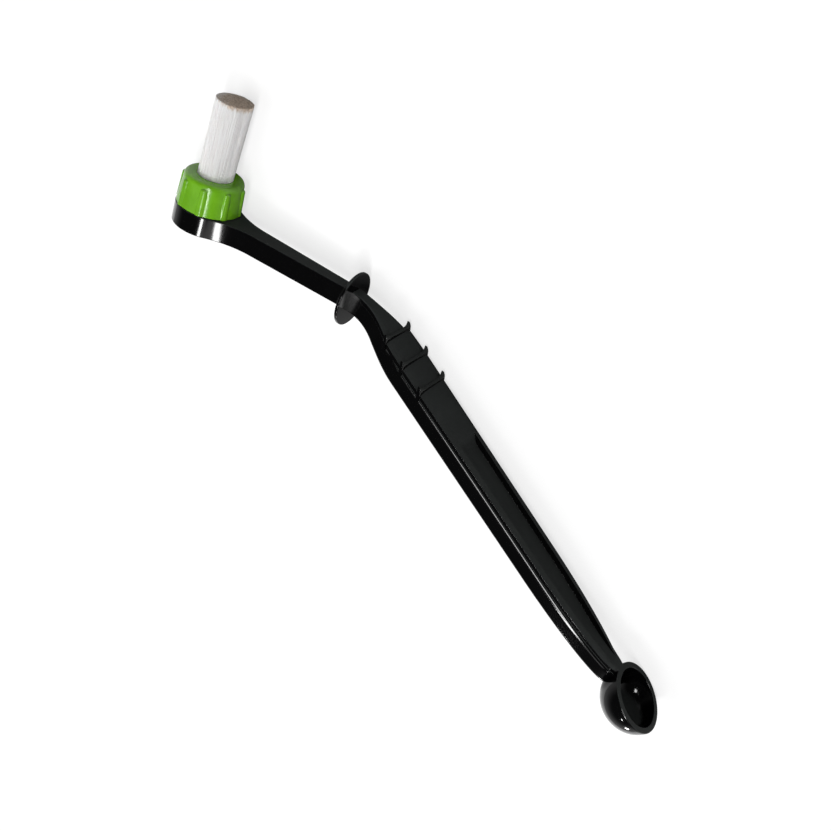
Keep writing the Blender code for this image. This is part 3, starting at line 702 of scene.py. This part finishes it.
def soften(points, reaches, steps=SOFT_STEPS):
    """A line whose inner corners become small curves. Each reach is how far its curve runs."""
    line = [Vector(points[0])]
    corners = zip(points, points[1:], points[2:], reaches)
    for before, corner, after, reach in ((Vector(a), Vector(b), Vector(c), r) for a, b, c, r in corners):
        start = corner + (before - corner).normalized() * reach
        end = corner + (after - corner).normalized() * reach
        for i in range(steps + 1):
            share = i / steps
            line.append(start.lerp(corner, share).lerp(corner.lerp(end, share), share))
    line.append(Vector(points[-1]))
    return [tuple(point) for point in line]


def mesh_from(body, name):
    """A mesh from what was drawn, with doubled points joined and its faces turned outward."""
    bmesh.ops.remove_doubles(body, verts=body.verts, dist=MERGE_DISTANCE)
    bmesh.ops.recalc_face_normals(body, faces=body.faces)
    mesh = bpy.data.meshes.new(name)
    body.to_mesh(mesh)
    body.free()
    return mesh


def join_rings(body, rings):
    """Faces between neighbouring closed rings that all have the same number of points."""
    count = len(rings[0])
    for first, second in zip(rings, rings[1:]):
        for i in range(count):
            after = (i + 1) % count
            corners = list(dict.fromkeys((first[i], second[i], second[after], first[after])))
            if len(corners) > 2:
                body.faces.new(corners)


def closed_skin(body, rings, name):
    """The mesh of a skin through closed rings, with a face at each end."""
    join_rings(body, rings)
    body.faces.new(rings[0])
    body.faces.new(reversed(rings[-1]))
    return mesh_from(body, name)


def circle(body, radius, height, turns):
    """A ring of new vertices about the axis, at the given turns."""
    return [body.verts.new((radius * math.cos(t), radius * math.sin(t), height)) for t in turns]


def turned(name, profile):
    """A turned mesh from (radius, height) points. A point on the axis is one vertex."""
    body = bmesh.new()
    turns = [math.tau * i / TURN_STEPS for i in range(TURN_STEPS)]
    rings = []
    for radius, height in profile:
        if radius == 0.0:
            rings.append([body.verts.new((0.0, 0.0, height))] * TURN_STEPS)
        else:
            rings.append(circle(body, radius, height, turns))
    join_rings(body, rings)
    return mesh_from(body, name)


def loft(name, sections):
    """A closed skin through half sections, mirrored across y = 0."""
    body = bmesh.new()
    rings = []
    for section in sections:
        mirrored = [Vector((p.x, -p.y, p.z)) for p in reversed(section[1:-1])]
        rings.append([body.verts.new(point) for point in section + mirrored])
    return closed_skin(body, rings, name)


def flat_plate(name, outline, thickness):
    """A closed flat outline, extruded to a thickness about its own plane."""
    body = bmesh.new()
    half = thickness / 2.0
    rings = [[body.verts.new((x, y, height)) for x, y in outline] for height in (-half, half)]
    join_rings(body, rings)
    body.faces.new(reversed(rings[0]))
    body.faces.new(rings[1])
    return mesh_from(body, name)


def helper(mesh, place=None):
    """An object that only joins or cuts another one, and is removed afterwards."""
    if place is not None:
        mesh.transform(place)
    item = bpy.data.objects.new(mesh.name, mesh)
    bpy.context.scene.collection.objects.link(item)
    return item


def round_edges(item, width):
    """Rounds every edge that is sharper than BEVEL_DEG."""
    bevel = item.modifiers.new("edge", "BEVEL")
    bevel.width = width
    bevel.segments = EDGE_SEGMENTS
    bevel.limit_method = "ANGLE"
    bevel.angle_limit = math.radians(BEVEL_DEG)
    return item


def finished_mesh(item, helpers):
    """The mesh with its modifiers applied. The object and its helpers are removed."""
    depsgraph = bpy.context.evaluated_depsgraph_get()
    mesh = bpy.data.meshes.new_from_object(item.evaluated_get(depsgraph))
    for old in (item, *helpers):
        bpy.data.objects.remove(old, do_unlink=True)
    return mesh


def clean_seams(mesh):
    """Takes out the slivers that joining and cutting leave along a seam."""
    body = bmesh.new()
    body.from_mesh(mesh)
    bmesh.ops.remove_doubles(body, verts=body.verts, dist=SEAM_MERGE)
    bmesh.ops.dissolve_degenerate(body, dist=SEAM_MERGE, edges=body.edges)
    body.to_mesh(mesh)
    body.free()


def boolean(target, tool, operation):
    """Adds a closed helper to the target, or cuts it out."""
    modifier = target.modifiers.new(f"{operation.lower()} {tool.name}", "BOOLEAN")
    modifier.operation = operation
    modifier.solver = "MANIFOLD"
    modifier.object = tool


def weigh_normals(piece):
    """Keeps big flat faces flat beside their rounded edges."""
    modifier = piece.modifiers.new("flat faces", "WEIGHTED_NORMAL")
    modifier.keep_sharp = True
    modifier.weight = FLAT_FACE_WEIGHT


# Grip

def body_half(distance):
    """Half width of the grip below its deck: a flare, a slow taper, then an oval nose."""
    flare_end = FLARE_START + FLARE_LENGTH
    if distance < flare_end:
        share = ease((distance - FLARE_START) / FLARE_LENGTH)
        return ARM_TIP_HALF + (GRIP_WIDE_HALF - ARM_TIP_HALF) * share
    if distance < taper_start():
        share = (distance - flare_end) / (taper_start() - flare_end)
        return GRIP_WIDE_HALF + (GRIP_NARROW_HALF - GRIP_WIDE_HALF) * share
    return NOSE_END_HALF + (GRIP_NARROW_HALF - NOSE_END_HALF) * math.sqrt(1.0 - nose_share(distance) ** 2)


def deck_started(distance):
    """Whether the raised deck, which begins at the first finger ridge, is there."""
    return distance > RIDGE_FIRST


def deck_half(distance):
    """Half width of the raised deck."""
    if not deck_started(distance):
        return body_half(distance) - SHOULDER_START_WIDTH
    if distance > FLARE_START + FLARE_LENGTH:
        return body_half(distance) - SHOULDER_WIDTH
    left = max(1.0 - (distance - RIDGE_FIRST) / DECK_SETTLE_LENGTH, 0.0)
    return GRIP_WIDE_HALF - SHOULDER_WIDTH - DECK_START_INSET * left ** 2


def neck_share(distance):
    """How far the neck has turned from the arm's section into the grip's."""
    return ease(distance / NECK_LENGTH)


def grip_thickness(distance):
    """From the deck down to the underside, a little less in the neck."""
    thinned = math.sin(math.pi * min(distance / NECK_LENGTH, 1.0)) ** 2
    grown = PLATE_THICKNESS + (GRIP_THICKNESS - PLATE_THICKNESS) * neck_share(distance)
    return grown - NECK_THINNING * thinned


def bevel_size(distance):
    """Width and drop of the deck's bevel, and before the deck of the neck's own."""
    if deck_started(distance):
        drop = DECK_BEVEL_DROP + (NOSE_BEVEL_DROP - DECK_BEVEL_DROP) * nose_share(distance) ** 2
        return DECK_BEVEL * deck_half(distance) / GRIP_WIDE_HALF, drop
    grown = ease(distance / RIDGE_FIRST)
    width = PLATE_EDGE + (NECK_BEVEL - PLATE_EDGE) * grown
    return width, PLATE_EDGE + (NECK_BEVEL_DROP - PLATE_EDGE) * grown


def grip_section(distance):
    """Half a section, from the deck's middle round to the underside's middle: (out, up) points."""
    half = deck_half(distance)
    side = body_half(distance)
    thick = grip_thickness(distance)
    bevel, bevel_drop = bevel_size(distance)
    rounding = SHOULDER_ROUND if deck_started(distance) else SHOULDER_START_WIDTH
    under = PLATE_EDGE + (GRIP_UNDER_ROUND - PLATE_EDGE) * neck_share(distance)
    top = nose_lift(distance)
    most = min(bevel, DECK_HEIGHT - bevel_drop) * MOST_CORNER_SHARE
    edge = min(DECK_EDGE, most) if deck_started(distance) else most
    inner = min(bevel, half - bevel) * DECK_CROWN_SHARE
    foot = SHOULDER_START_WIDTH
    corners = [(0.0, top), (half - bevel, top), (half, top - bevel_drop), (half, -DECK_HEIGHT - foot / 2.0)]
    points = soften(corners, [inner, edge])
    for i in range(1, ROUND_STEPS + 1):
        turn = math.pi / 2.0 * i / ROUND_STEPS
        out = half + (side - half) * math.sin(turn)
        points.append((out, -DECK_HEIGHT - foot - rounding * (1.0 - math.cos(turn))))
    for i in range(ROUND_STEPS + 1):
        turn = math.pi / 2.0 * i / ROUND_STEPS
        points.append((side - under * (1.0 - math.cos(turn)), under - thick - under * math.sin(turn)))
    points.append((0.0, -thick))
    return points


def even_rows(start, end, count):
    """Evenly spaced values from start up to, but without, end."""
    return [start + (end - start) * i / count for i in range(count)]


def even_stations(start, end, step):
    """Values from start up to, but without, end, about a step apart."""
    return even_rows(start, end, max(1, round((end - start) / step)))


def grip_stations():
    """Distances of the grip's sections, closer where its shape changes faster."""
    last = rim_distance() + SCOOP_RIM_WIDTH + SCOOP_FLOOR
    stations = even_stations(GUARD_THICKNESS / 2.0 - GUARD_EMBED, RIDGE_FIRST, CLOSE_STATION)
    stations.append(RIDGE_FIRST)
    stations += even_stations(RIDGE_FIRST + CUT_CLEARANCE, FLARE_START + FLARE_LENGTH, CLOSE_STATION)
    stations += even_stations(FLARE_START + FLARE_LENGTH, taper_start(), LONG_STATION)
    stations += even_stations(taper_start(), last, CLOSE_STATION)
    return stations + [last]


def make_grip():
    """Neck, grip and nose: one skin through all the sections."""
    sections = [section_in_place(distance, grip_section(distance)) for distance in grip_stations()]
    return helper(loft("grip_body", sections))


def make_channel_cutter():
    """A long hollow in the deck, with a short ramp at its start and a long one at its end."""
    end = rim_distance() - CHANNEL_END_BEFORE_RIM
    last = end - CHANNEL_END_RAMP
    sections = []
    for distance in even_stations(CHANNEL_START, end, LONG_STATION / 2.0) + [end]:
        depth = CHANNEL_DEPTH * ease((distance - CHANNEL_START) / CHANNEL_START_RAMP)
        if distance > last:
            depth = CHANNEL_DEPTH * (1.0 - ((distance - last) / CHANNEL_END_RAMP) ** 2)
        half = max(deck_half(distance) - CHANNEL_RIM_WIDTH, SHOULDER_START_WIDTH)
        floor = CUT_CLEARANCE - depth + nose_lift(distance)
        reach = min(CHANNEL_FLOOR_ROUND, min(half, CUT_OVERRUN - floor) * MOST_CORNER_SHARE)
        corners = [(0.0, CUT_OVERRUN), (half, CUT_OVERRUN), (half, floor), (0.0, floor)]
        sections.append(section_in_place(distance, soften(corners, [CHANNEL_MOUTH_ROUND, reach])))
    return helper(loft("thumb_channel_cut", sections))


def ridge_top(side):
    """The fin's upper line from end to end: level in the middle, with a horn at each end."""
    reach = side - RIDGE_HORN_INSET
    horn = RIDGE_TIP_HEIGHT - RIDGE_MIDDLE_HEIGHT
    line = [(-side, -DECK_BEVEL_DROP)]
    for i in range(RIDGE_STEPS + 1):
        across = 2.0 * i / RIDGE_STEPS - 1.0
        line.append((reach * across, RIDGE_MIDDLE_HEIGHT + horn * across ** RIDGE_HORN_POWER))
    line.append((side, -DECK_BEVEL_DROP))
    return soften(line, [RIDGE_EDGE] + [0.0] * (RIDGE_STEPS - 1) + [RIDGE_EDGE])


def ridge_section(side, out, top):
    """A closed section across the fin at one place along it: (ahead, up) points."""
    near_end = min(max((abs(out) - side + RIDGE_EDGE) / RIDGE_EDGE, 0.0), 1.0)
    half = RIDGE_THICKNESS / 2.0 - RIDGE_EDGE * (1.0 - math.sqrt(1.0 - near_end ** 2))
    shoulder = top - RIDGE_EDGE
    rows = even_rows(-RIDGE_FOOT_DEPTH, shoulder, RIDGE_ROWS)
    rounded = arc(half - RIDGE_EDGE, shoulder, RIDGE_EDGE, 0.0, 90.0, SOFT_STEPS)
    front = [(half, row) for row in rows] + rounded
    return front + [(-ahead, up) for ahead, up in reversed(front)]


def make_ridge(index):
    """An upright fin across the deck and down over the step, whose ends are horns that lean ahead."""
    distance = RIDGE_FIRST + RIDGE_PITCH * index
    side = deck_half(distance + CUT_CLEARANCE) + SHOULDER_WIDTH
    thinning = (RIDGE_THICKNESS - RIDGE_CREST) / (RIDGE_TIP_HEIGHT + RIDGE_FOOT_DEPTH)
    body = bmesh.new()
    rings = []
    for out, top in ridge_top(side):
        ring = []
        for ahead, up in ridge_section(side, out, top):
            if ahead > 0.0:
                ahead -= (up + RIDGE_FOOT_DEPTH) * thinning
            ahead -= max(up - RIDGE_MIDDLE_HEIGHT, 0.0) * RIDGE_HORN_LEAN_SHARE
            ring.append(body.verts.new((ahead, out, up)))
        rings.append(ring)
    place = Matrix.Translation(deck_path(distance)[0])
    return helper(closed_skin(body, rings, f"finger_ridge_{index + 1}"), place)


# Plate, guard, scoop and spigot

def arm_half(along):
    """Half width of the arm, which tapers from the plate to the guard."""
    share = (along - PLATE_RADIUS) / (ARM_REACH - PLATE_RADIUS)
    return ARM_ROOT_HALF + (ARM_TIP_HALF - ARM_ROOT_HALF) * share


def make_plate_and_arm():
    """The head's outline, extruded: a round plate blended into the arm by two hollow arcs."""
    reach = PLATE_RADIUS + ARM_BLEND_RADIUS
    blend_x = reach
    for _ in range(BLEND_SETTLE_ROUNDS):
        blend_y = arm_half(blend_x) + ARM_BLEND_RADIUS
        blend_x = math.sqrt(reach ** 2 - blend_y ** 2)
    tangent_deg = math.degrees(math.atan2(blend_y, blend_x))
    nose = arc(0.0, 0.0, PLATE_RADIUS, tangent_deg, 180.0, NOSE_STEPS)
    blend = arc(blend_x, blend_y, ARM_BLEND_RADIUS, -90.0, tangent_deg - 180.0, BLEND_STEPS)
    upper = [(ARM_REACH, arm_half(ARM_REACH))] + blend + nose[1:]
    outline = upper + [(x, -y) for x, y in reversed(upper[:-1])]
    place = Matrix.Translation((0.0, 0.0, -PLATE_THICKNESS / 2.0))
    plate = helper(flat_plate("handle_skin", outline, PLATE_THICKNESS), place)
    return round_edges(plate, PLATE_EDGE)


def make_guard():
    """The round drip guard, square across the arm's end."""
    half = GUARD_THICKNESS / 2.0
    corners = [(0.0, half), (GUARD_RADIUS, half), (GUARD_RADIUS, -half), (0.0, -half)]
    place = Matrix.Translation((ARM_REACH, 0.0, -PLATE_THICKNESS / 2.0))
    place = place @ Matrix.Rotation(math.pi / 2.0, 4, "Y")
    return helper(turned("drip_guard", soften(corners, [GUARD_EDGE, GUARD_EDGE])), place)


def bowl_line(rim_radius, depth, height):
    """A quarter oval from the rim down to the axis."""
    turns = [math.pi / 2.0 * i / BOWL_STEPS for i in range(BOWL_STEPS)]
    line = [(rim_radius * math.cos(t), height - depth * math.sin(t)) for t in turns]
    return line + [(0.0, height - depth)]


def make_scoop():
    """The scoop's outside, closed across its rim."""
    lip = SCOOP_LIP + SCOOP_RIM_EDGE
    corners = [(0.0, 0.0), (SCOOP_RIM_RADIUS, 0.0), (SCOOP_RIM_RADIUS, -lip)]
    profile = soften(corners, [SCOOP_RIM_EDGE], SOFT_STEPS * 2)
    profile += bowl_line(SCOOP_RIM_RADIUS, SCOOP_DEPTH - lip, -lip)[1:]
    return helper(turned("scoop_body", profile), scoop_place())


def make_scoop_cutter():
    """Hollows the bowl with a softened mouth, and takes off what stands above its rim."""
    inner = SCOOP_RIM_RADIUS - SCOOP_RIM_WIDTH
    clear = SCOOP_RIM_RADIUS + CUT_OVERRUN
    mouth_foot = SCOOP_MOUTH_EDGE * 2.0
    mouth = [(clear, 0.0), (inner, 0.0), (inner, -mouth_foot)]
    profile = [(0.0, CUT_OVERRUN), (clear, CUT_OVERRUN)] + soften(mouth, [SCOOP_MOUTH_EDGE], SOFT_STEPS * 2)
    profile += bowl_line(inner, SCOOP_DEPTH - SCOOP_FLOOR - mouth_foot, -mouth_foot)[1:]
    return helper(turned("scoop_hollow_cut", profile), scoop_place())


def make_spigot():
    """The spigot that carries the thread, from inside the plate up."""
    foot = -PLATE_THICKNESS / 2.0
    corners = [(0.0, SPIGOT_HEIGHT), (SPIGOT_RADIUS, SPIGOT_HEIGHT), (SPIGOT_RADIUS, foot)]
    profile = soften(corners, [SPIGOT_EDGE]) + [(0.0, foot)]
    return helper(turned("spigot_body", profile))


def make_pocket_cutter():
    """The pocket that the tuft's holder stands in."""
    above = SPIGOT_HEIGHT + CUT_OVERRUN
    profile = [(0.0, above), (POCKET_RADIUS, above), (POCKET_RADIUS, -POCKET_DEPTH), (0.0, -POCKET_DEPTH)]
    return helper(turned("holder_pocket_cut", profile))


def make_handle(material):
    """The one-piece moulding: plate, arm, guard, ridged grip with its channel, and scoop."""
    handle = make_plate_and_arm()
    joined = [make_grip(), make_guard(), make_scoop(), make_spigot()]
    joined += [make_ridge(i) for i in range(RIDGE_COUNT)]
    cut = [make_channel_cutter(), make_scoop_cutter(), make_pocket_cutter()]
    for tool in joined:
        boolean(handle, tool, "UNION")
    for tool in cut:
        boolean(handle, tool, "DIFFERENCE")
    mesh = finished_mesh(handle, joined + cut)
    clean_seams(mesh)
    weigh_normals(new_piece("handle_skin", mesh, material, "handle_body", "handle"))


def make_thread(material):
    """The coarse thread on the spigot: one ridge that rises and runs out at both ends."""
    turns = (THREAD_END - THREAD_START) / THREAD_PITCH
    count = round(turns * THREAD_STEPS)
    run_out = THREAD_STEPS * THREAD_RUN_OUT_TURNS
    body = bmesh.new()
    rings = []
    for i in range(count + 1):
        share = i / count
        turn = math.tau * turns * share
        height = THREAD_START + THREAD_PITCH * turns * share
        grown = min(1.0, share * count / run_out, (1.0 - share) * count / run_out)
        grown = ease(THREAD_LEAST_SHARE + (1.0 - THREAD_LEAST_SHARE) * grown)
        crest = THREAD_ROOT_RADIUS + (THREAD_CREST_RADIUS - THREAD_ROOT_RADIUS) * grown
        section = [(THREAD_ROOT_RADIUS, -THREAD_FLANK), (crest, -THREAD_CREST_HALF),
                   (crest, THREAD_CREST_HALF), (THREAD_ROOT_RADIUS, THREAD_FLANK)]
        places = [(r * math.cos(turn), r * math.sin(turn), height + rise) for r, rise in section]
        rings.append([body.verts.new(place) for place in places])
    mesh = closed_skin(body, rings, "spigot_thread")
    new_piece("spigot_thread", mesh, material, "handle_body")


# Screw collar

def soft_larger(first, second, fillet):
    """The larger of two lengths, with a fillet where they cross."""
    near = max(fillet - abs(first - second), 0.0) / fillet
    return max(first, second) + near * near * fillet / 4.0


def rib_radius(height, across):
    """How far out a rib's face lies, at a height and a distance across from its middle."""
    dome_foot = COLLAR_RIB_TOP - COLLAR_RIB_TOP_RADIUS
    size = COLLAR_RIB_RADIUS
    size += (COLLAR_RIB_TOP_RADIUS - size) * (height - COLLAR_FOOT) / (dome_foot - COLLAR_FOOT)
    if height > dome_foot:
        past = (height - dome_foot) / COLLAR_RIB_TOP_RADIUS
        size = COLLAR_RIB_TOP_RADIUS * math.sqrt(max(1.0 - past ** 2, 0.0))
    share = abs(across) / max(size * COLLAR_RIB_WIDTH_SHARE, MERGE_DISTANCE)
    return COLLAR_RIB_CENTRE + size * math.sqrt(max(1.0 - share ** 2, 0.0))


def collar_outer_radius(height, turn):
    """The collar's cone with its ribs blended on."""
    top = COLLAR_FOOT + COLLAR_HEIGHT - COLLAR_ROUND
    cone = COLLAR_FOOT_RADIUS
    cone += (COLLAR_TOP_RADIUS - cone) * (height - COLLAR_FOOT) / (top - COLLAR_FOOT)
    pitch = math.tau / COLLAR_RIBS
    off = (turn - COLLAR_RIB_PHASE + pitch / 2.0) % pitch - pitch / 2.0
    return soft_larger(cone, rib_radius(height, off * cone), COLLAR_RIB_FILLET)


def make_collar(material):
    """A cap nut: a lip over the holder's flange, a plain bore, and eight domed ribs for the fingers."""
    top = COLLAR_FOOT + COLLAR_HEIGHT
    wall_top = top - COLLAR_ROUND
    columns = COLLAR_RIBS * COLLAR_COLUMNS
    turns = [math.tau * i / columns for i in range(columns)]
    body = bmesh.new()
    rings = []
    for i in range(COLLAR_ROWS + 1):
        height = COLLAR_FOOT + (wall_top - COLLAR_FOOT) * i / COLLAR_ROWS
        ring = []
        for turn in turns:
            radius = collar_outer_radius(height, turn)
            ring += circle(body, radius, height, [turn])
        rings.append(ring)
    shoulder = arc(COLLAR_TOP_RADIUS - COLLAR_ROUND, wall_top, COLLAR_ROUND, 0.0, 90.0, ROUND_STEPS * 2)[1:]
    inside = [(COLLAR_HOLE_RADIUS + COLLAR_HOLE_MARGIN, top), (COLLAR_HOLE_RADIUS, top),
              (COLLAR_HOLE_RADIUS, COLLAR_LIP_UNDERSIDE)]
    inside = soften(inside, [COLLAR_HOLE_EDGE]) + [(COLLAR_BORE_RADIUS, COLLAR_LIP_UNDERSIDE)]
    inside += [(COLLAR_BORE_RADIUS, COLLAR_FOOT)]
    rings += [circle(body, radius, height, turns) for radius, height in shoulder + inside]
    join_rings(body, rings + [rings[0]])
    mesh = mesh_from(body, "collar_skin")
    weigh_normals(new_piece("collar_skin", mesh, material, "collar", "screw_collar"))


# Bristles

def strand_places():
    """Feet of the strands, spread evenly over the tuft's round foot by the golden angle."""
    golden = math.pi * (3.0 - math.sqrt(5.0))
    for i in range(STRAND_COUNT):
        share = math.sqrt((i + 0.5) / STRAND_COUNT)
        yield share, golden * i


def make_tuft(material):
    """Fine filaments that splay and wander a little, trimmed to a low crown."""
    chance = random.Random(TUFT_SEED)
    body = bmesh.new()
    for share, turn in strand_places():
        outward = Vector((math.cos(turn), math.sin(turn), 0.0))
        radius = (TUFT_RADIUS - STRAND_RADIUS) * share
        top = TUFT_TIP - TUFT_CROWN * share ** 2 - TRIM_VARIATION * chance.random() ** 2
        wander = Vector((chance.uniform(-1.0, 1.0), chance.uniform(-1.0, 1.0), 0.0)) * STRAND_WANDER
        phase = chance.uniform(0.0, math.tau)
        rings = []
        for bend in range(STRAND_BENDS + 1):
            up = bend / STRAND_BENDS
            bent = up ** TUFT_SPLAY_POWER
            centre = outward * radius * (1.0 + TUFT_SPLAY_SHARE * bent)
            centre += Vector((TUFT_LEAN * bent, 0.0, 0.0))
            centre += wander * math.sin(up * math.pi * STRAND_HALF_WAVES + phase) * up
            centre.z = TUFT_FOOT + (top - TUFT_FOOT) * up
            ring = []
            for side in range(STRAND_SIDES):
                way = phase + math.tau * side / STRAND_SIDES
                offset = Vector((math.cos(way), math.sin(way), 0.0)) * STRAND_RADIUS
                ring.append(body.verts.new(centre + offset))
            rings.append(ring)
        for lower, upper in zip(rings, rings[1:]):
            for side in range(STRAND_SIDES):
                after = (side + 1) % STRAND_SIDES
                body.faces.new((lower[side], lower[after], upper[after], upper[side]))
        body.faces.new(rings[-1])
        body.faces.new(reversed(rings[0]))
    mesh = bpy.data.meshes.new("bristles")
    body.to_mesh(mesh)
    body.free()
    new_piece("bristles", mesh, material, "cartridge", "bristle_tuft", STRAND_SHARP_DEG)


# Studio

def make_floor():
    """A pale floor that reads as white to the camera, and keeps the tool's soft shadow.

    Polished surfaces mirror it too, dimmer close to the tool: a painted shadow, where ambient occlusion
    dims the glow that they see.
    """
    mesh = bpy.data.meshes.new("studio_floor")
    half = FLOOR_HALF
    corners = [(-half, -half, 0.0), (half, -half, 0.0), (half, half, 0.0), (-half, half, 0.0)]
    mesh.from_pydata(corners, [], [(0, 1, 2, 3)])
    floor = bpy.data.objects.new("studio_floor", mesh)
    floor.location = (0.0, 0.0, -FLOOR_BELOW)
    bpy.context.scene.collection.objects.link(floor)
    material, tree, shader = new_material("pale_floor")
    set_shader(shader, base_color=FLOOR_PALE, emission_color=WHITE)
    set_shader(shader, roughness=FLOOR_ROUGHNESS, specular_ior_level=FLOOR_SPECULAR)
    path = add_node(tree, "LightPath").outputs
    mirrored = math_node(tree, "MAXIMUM", path["Is Glossy Ray"], path["Is Transmission Ray"])
    # Painted shadow: ambient occlusion dims the glow that polished surfaces mirror, close to the tool
    near = add_node(tree, "AmbientOcclusion", samples=FLOOR_SHADOW_SAMPLES)
    near.inputs["Distance"].default_value = FLOOR_SHADOW_REACH
    painted_shadow = math_node(tree, "POWER", near.outputs["AO"], FLOOR_SHADOW_POWER)
    mirrored = math_node(tree, "MULTIPLY", mirrored, painted_shadow)
    seen = math_node(tree, "MAXIMUM", path["Is Camera Ray"], mirrored)
    feed(tree, math_node(tree, "MULTIPLY", seen, FLOOR_GLOW), shader.inputs["Emission Strength"])
    mesh.materials.append(material)


def make_room():
    """Soft light from all round: pale near the horizon, dim overhead."""
    world = bpy.data.worlds.new("studio_room")
    bpy.context.scene.world = world
    world.use_nodes = True
    tree = world.node_tree
    background = tree.nodes["Background"]
    source = add_node(tree, "TexCoord")
    parts = add_node(tree, "SeparateXYZ")
    feed(tree, source.outputs["Generated"], parts.inputs[0])
    height = between(tree, parts.outputs[2], ROOM_HORIZON_HEIGHT, ROOM_OVERHEAD_HEIGHT)
    feed(tree, mix_colour(tree, height, ROOM_HORIZON, ROOM_OVERHEAD), background.inputs["Color"])


def add_softbox(name, direction, distance, size, brightness, mirrored=True):
    """A rectangular lamp that faces the tool. Brightness is how bright it looks, where 1 is white."""
    width, height = size
    lamp = bpy.data.lights.new(name, "AREA")
    lamp.shape = "RECTANGLE"
    lamp.size = width
    lamp.size_y = height
    lamp.energy = brightness * math.pi * width * height
    place = bpy.data.objects.new(name, lamp)
    way = Vector(direction).normalized()
    place.location = way * distance
    place.rotation_mode = "QUATERNION"
    place.rotation_quaternion = way.to_track_quat("Z", "Y")
    place.visible_glossy = mirrored
    bpy.context.scene.collection.objects.link(place)


def make_lights():
    """Lamps and dim panels, each where a highlight of the tool mirrors it, and a plain fill."""
    add_softbox("key_softbox", (0.47, -0.28, 1.05), 1.18, (0.24, 0.12), 28.0)
    add_softbox("key_panel", (0.74, -0.28, 1.05), 1.30, (0.24, 0.46), 0.9)
    add_softbox("shoulder_softbox", (0.34, 0.19, 1.05), 1.12, (0.76, 0.17), 14.0)
    add_softbox("shoulder_panel", (0.12, 0.19, 1.05), 1.08, (0.76, 0.26), 0.6)
    add_softbox("far_softbox", (0.50, -0.95, 1.05), 1.50, (0.10, 0.05), 40.0)
    add_softbox("fill_softbox", (-0.25, -0.45, 0.85), 1.3, (1.0, 1.0), 2.4, mirrored=False)
    add_softbox("front_softbox", (0.62, -0.74, 0.24), 1.2, (0.12, 0.12), 30.0)


def make_camera():
    """The photograph's view: a plain lens, with no shift and no blur."""
    camera = bpy.data.cameras.new("camera")
    camera.sensor_width = FILM_WIDTH
    camera.lens = FILM_WIDTH * FOCAL_PIXELS / PHOTO_SIDE
    camera.clip_start = CLIP_NEAR
    camera.clip_end = CLIP_FAR
    place = bpy.data.objects.new("camera", camera)
    back = -Vector(CAMERA_AHEAD).normalized()
    right = Vector(CAMERA_UP).cross(back).normalized()
    turn = Matrix((right, back.cross(right), back)).transposed().to_4x4()
    place.matrix_world = TOOL @ Matrix.Translation(CAMERA_EYE) @ turn
    bpy.context.scene.collection.objects.link(place)
    bpy.context.scene.camera = place


def main():
    """The camera, the tool's pieces and the studio."""
    make_camera()
    handle_plastic = make_handle_plastic()
    make_handle(handle_plastic)
    make_thread(handle_plastic)
    make_collar(make_collar_plastic())
    dress("tuft_holder", make_holder_plastic())
    make_tuft(make_bristles())
    make_floor()
    make_room()
    make_lights()
    bpy.context.scene.view_settings.view_transform = "Standard"


main()
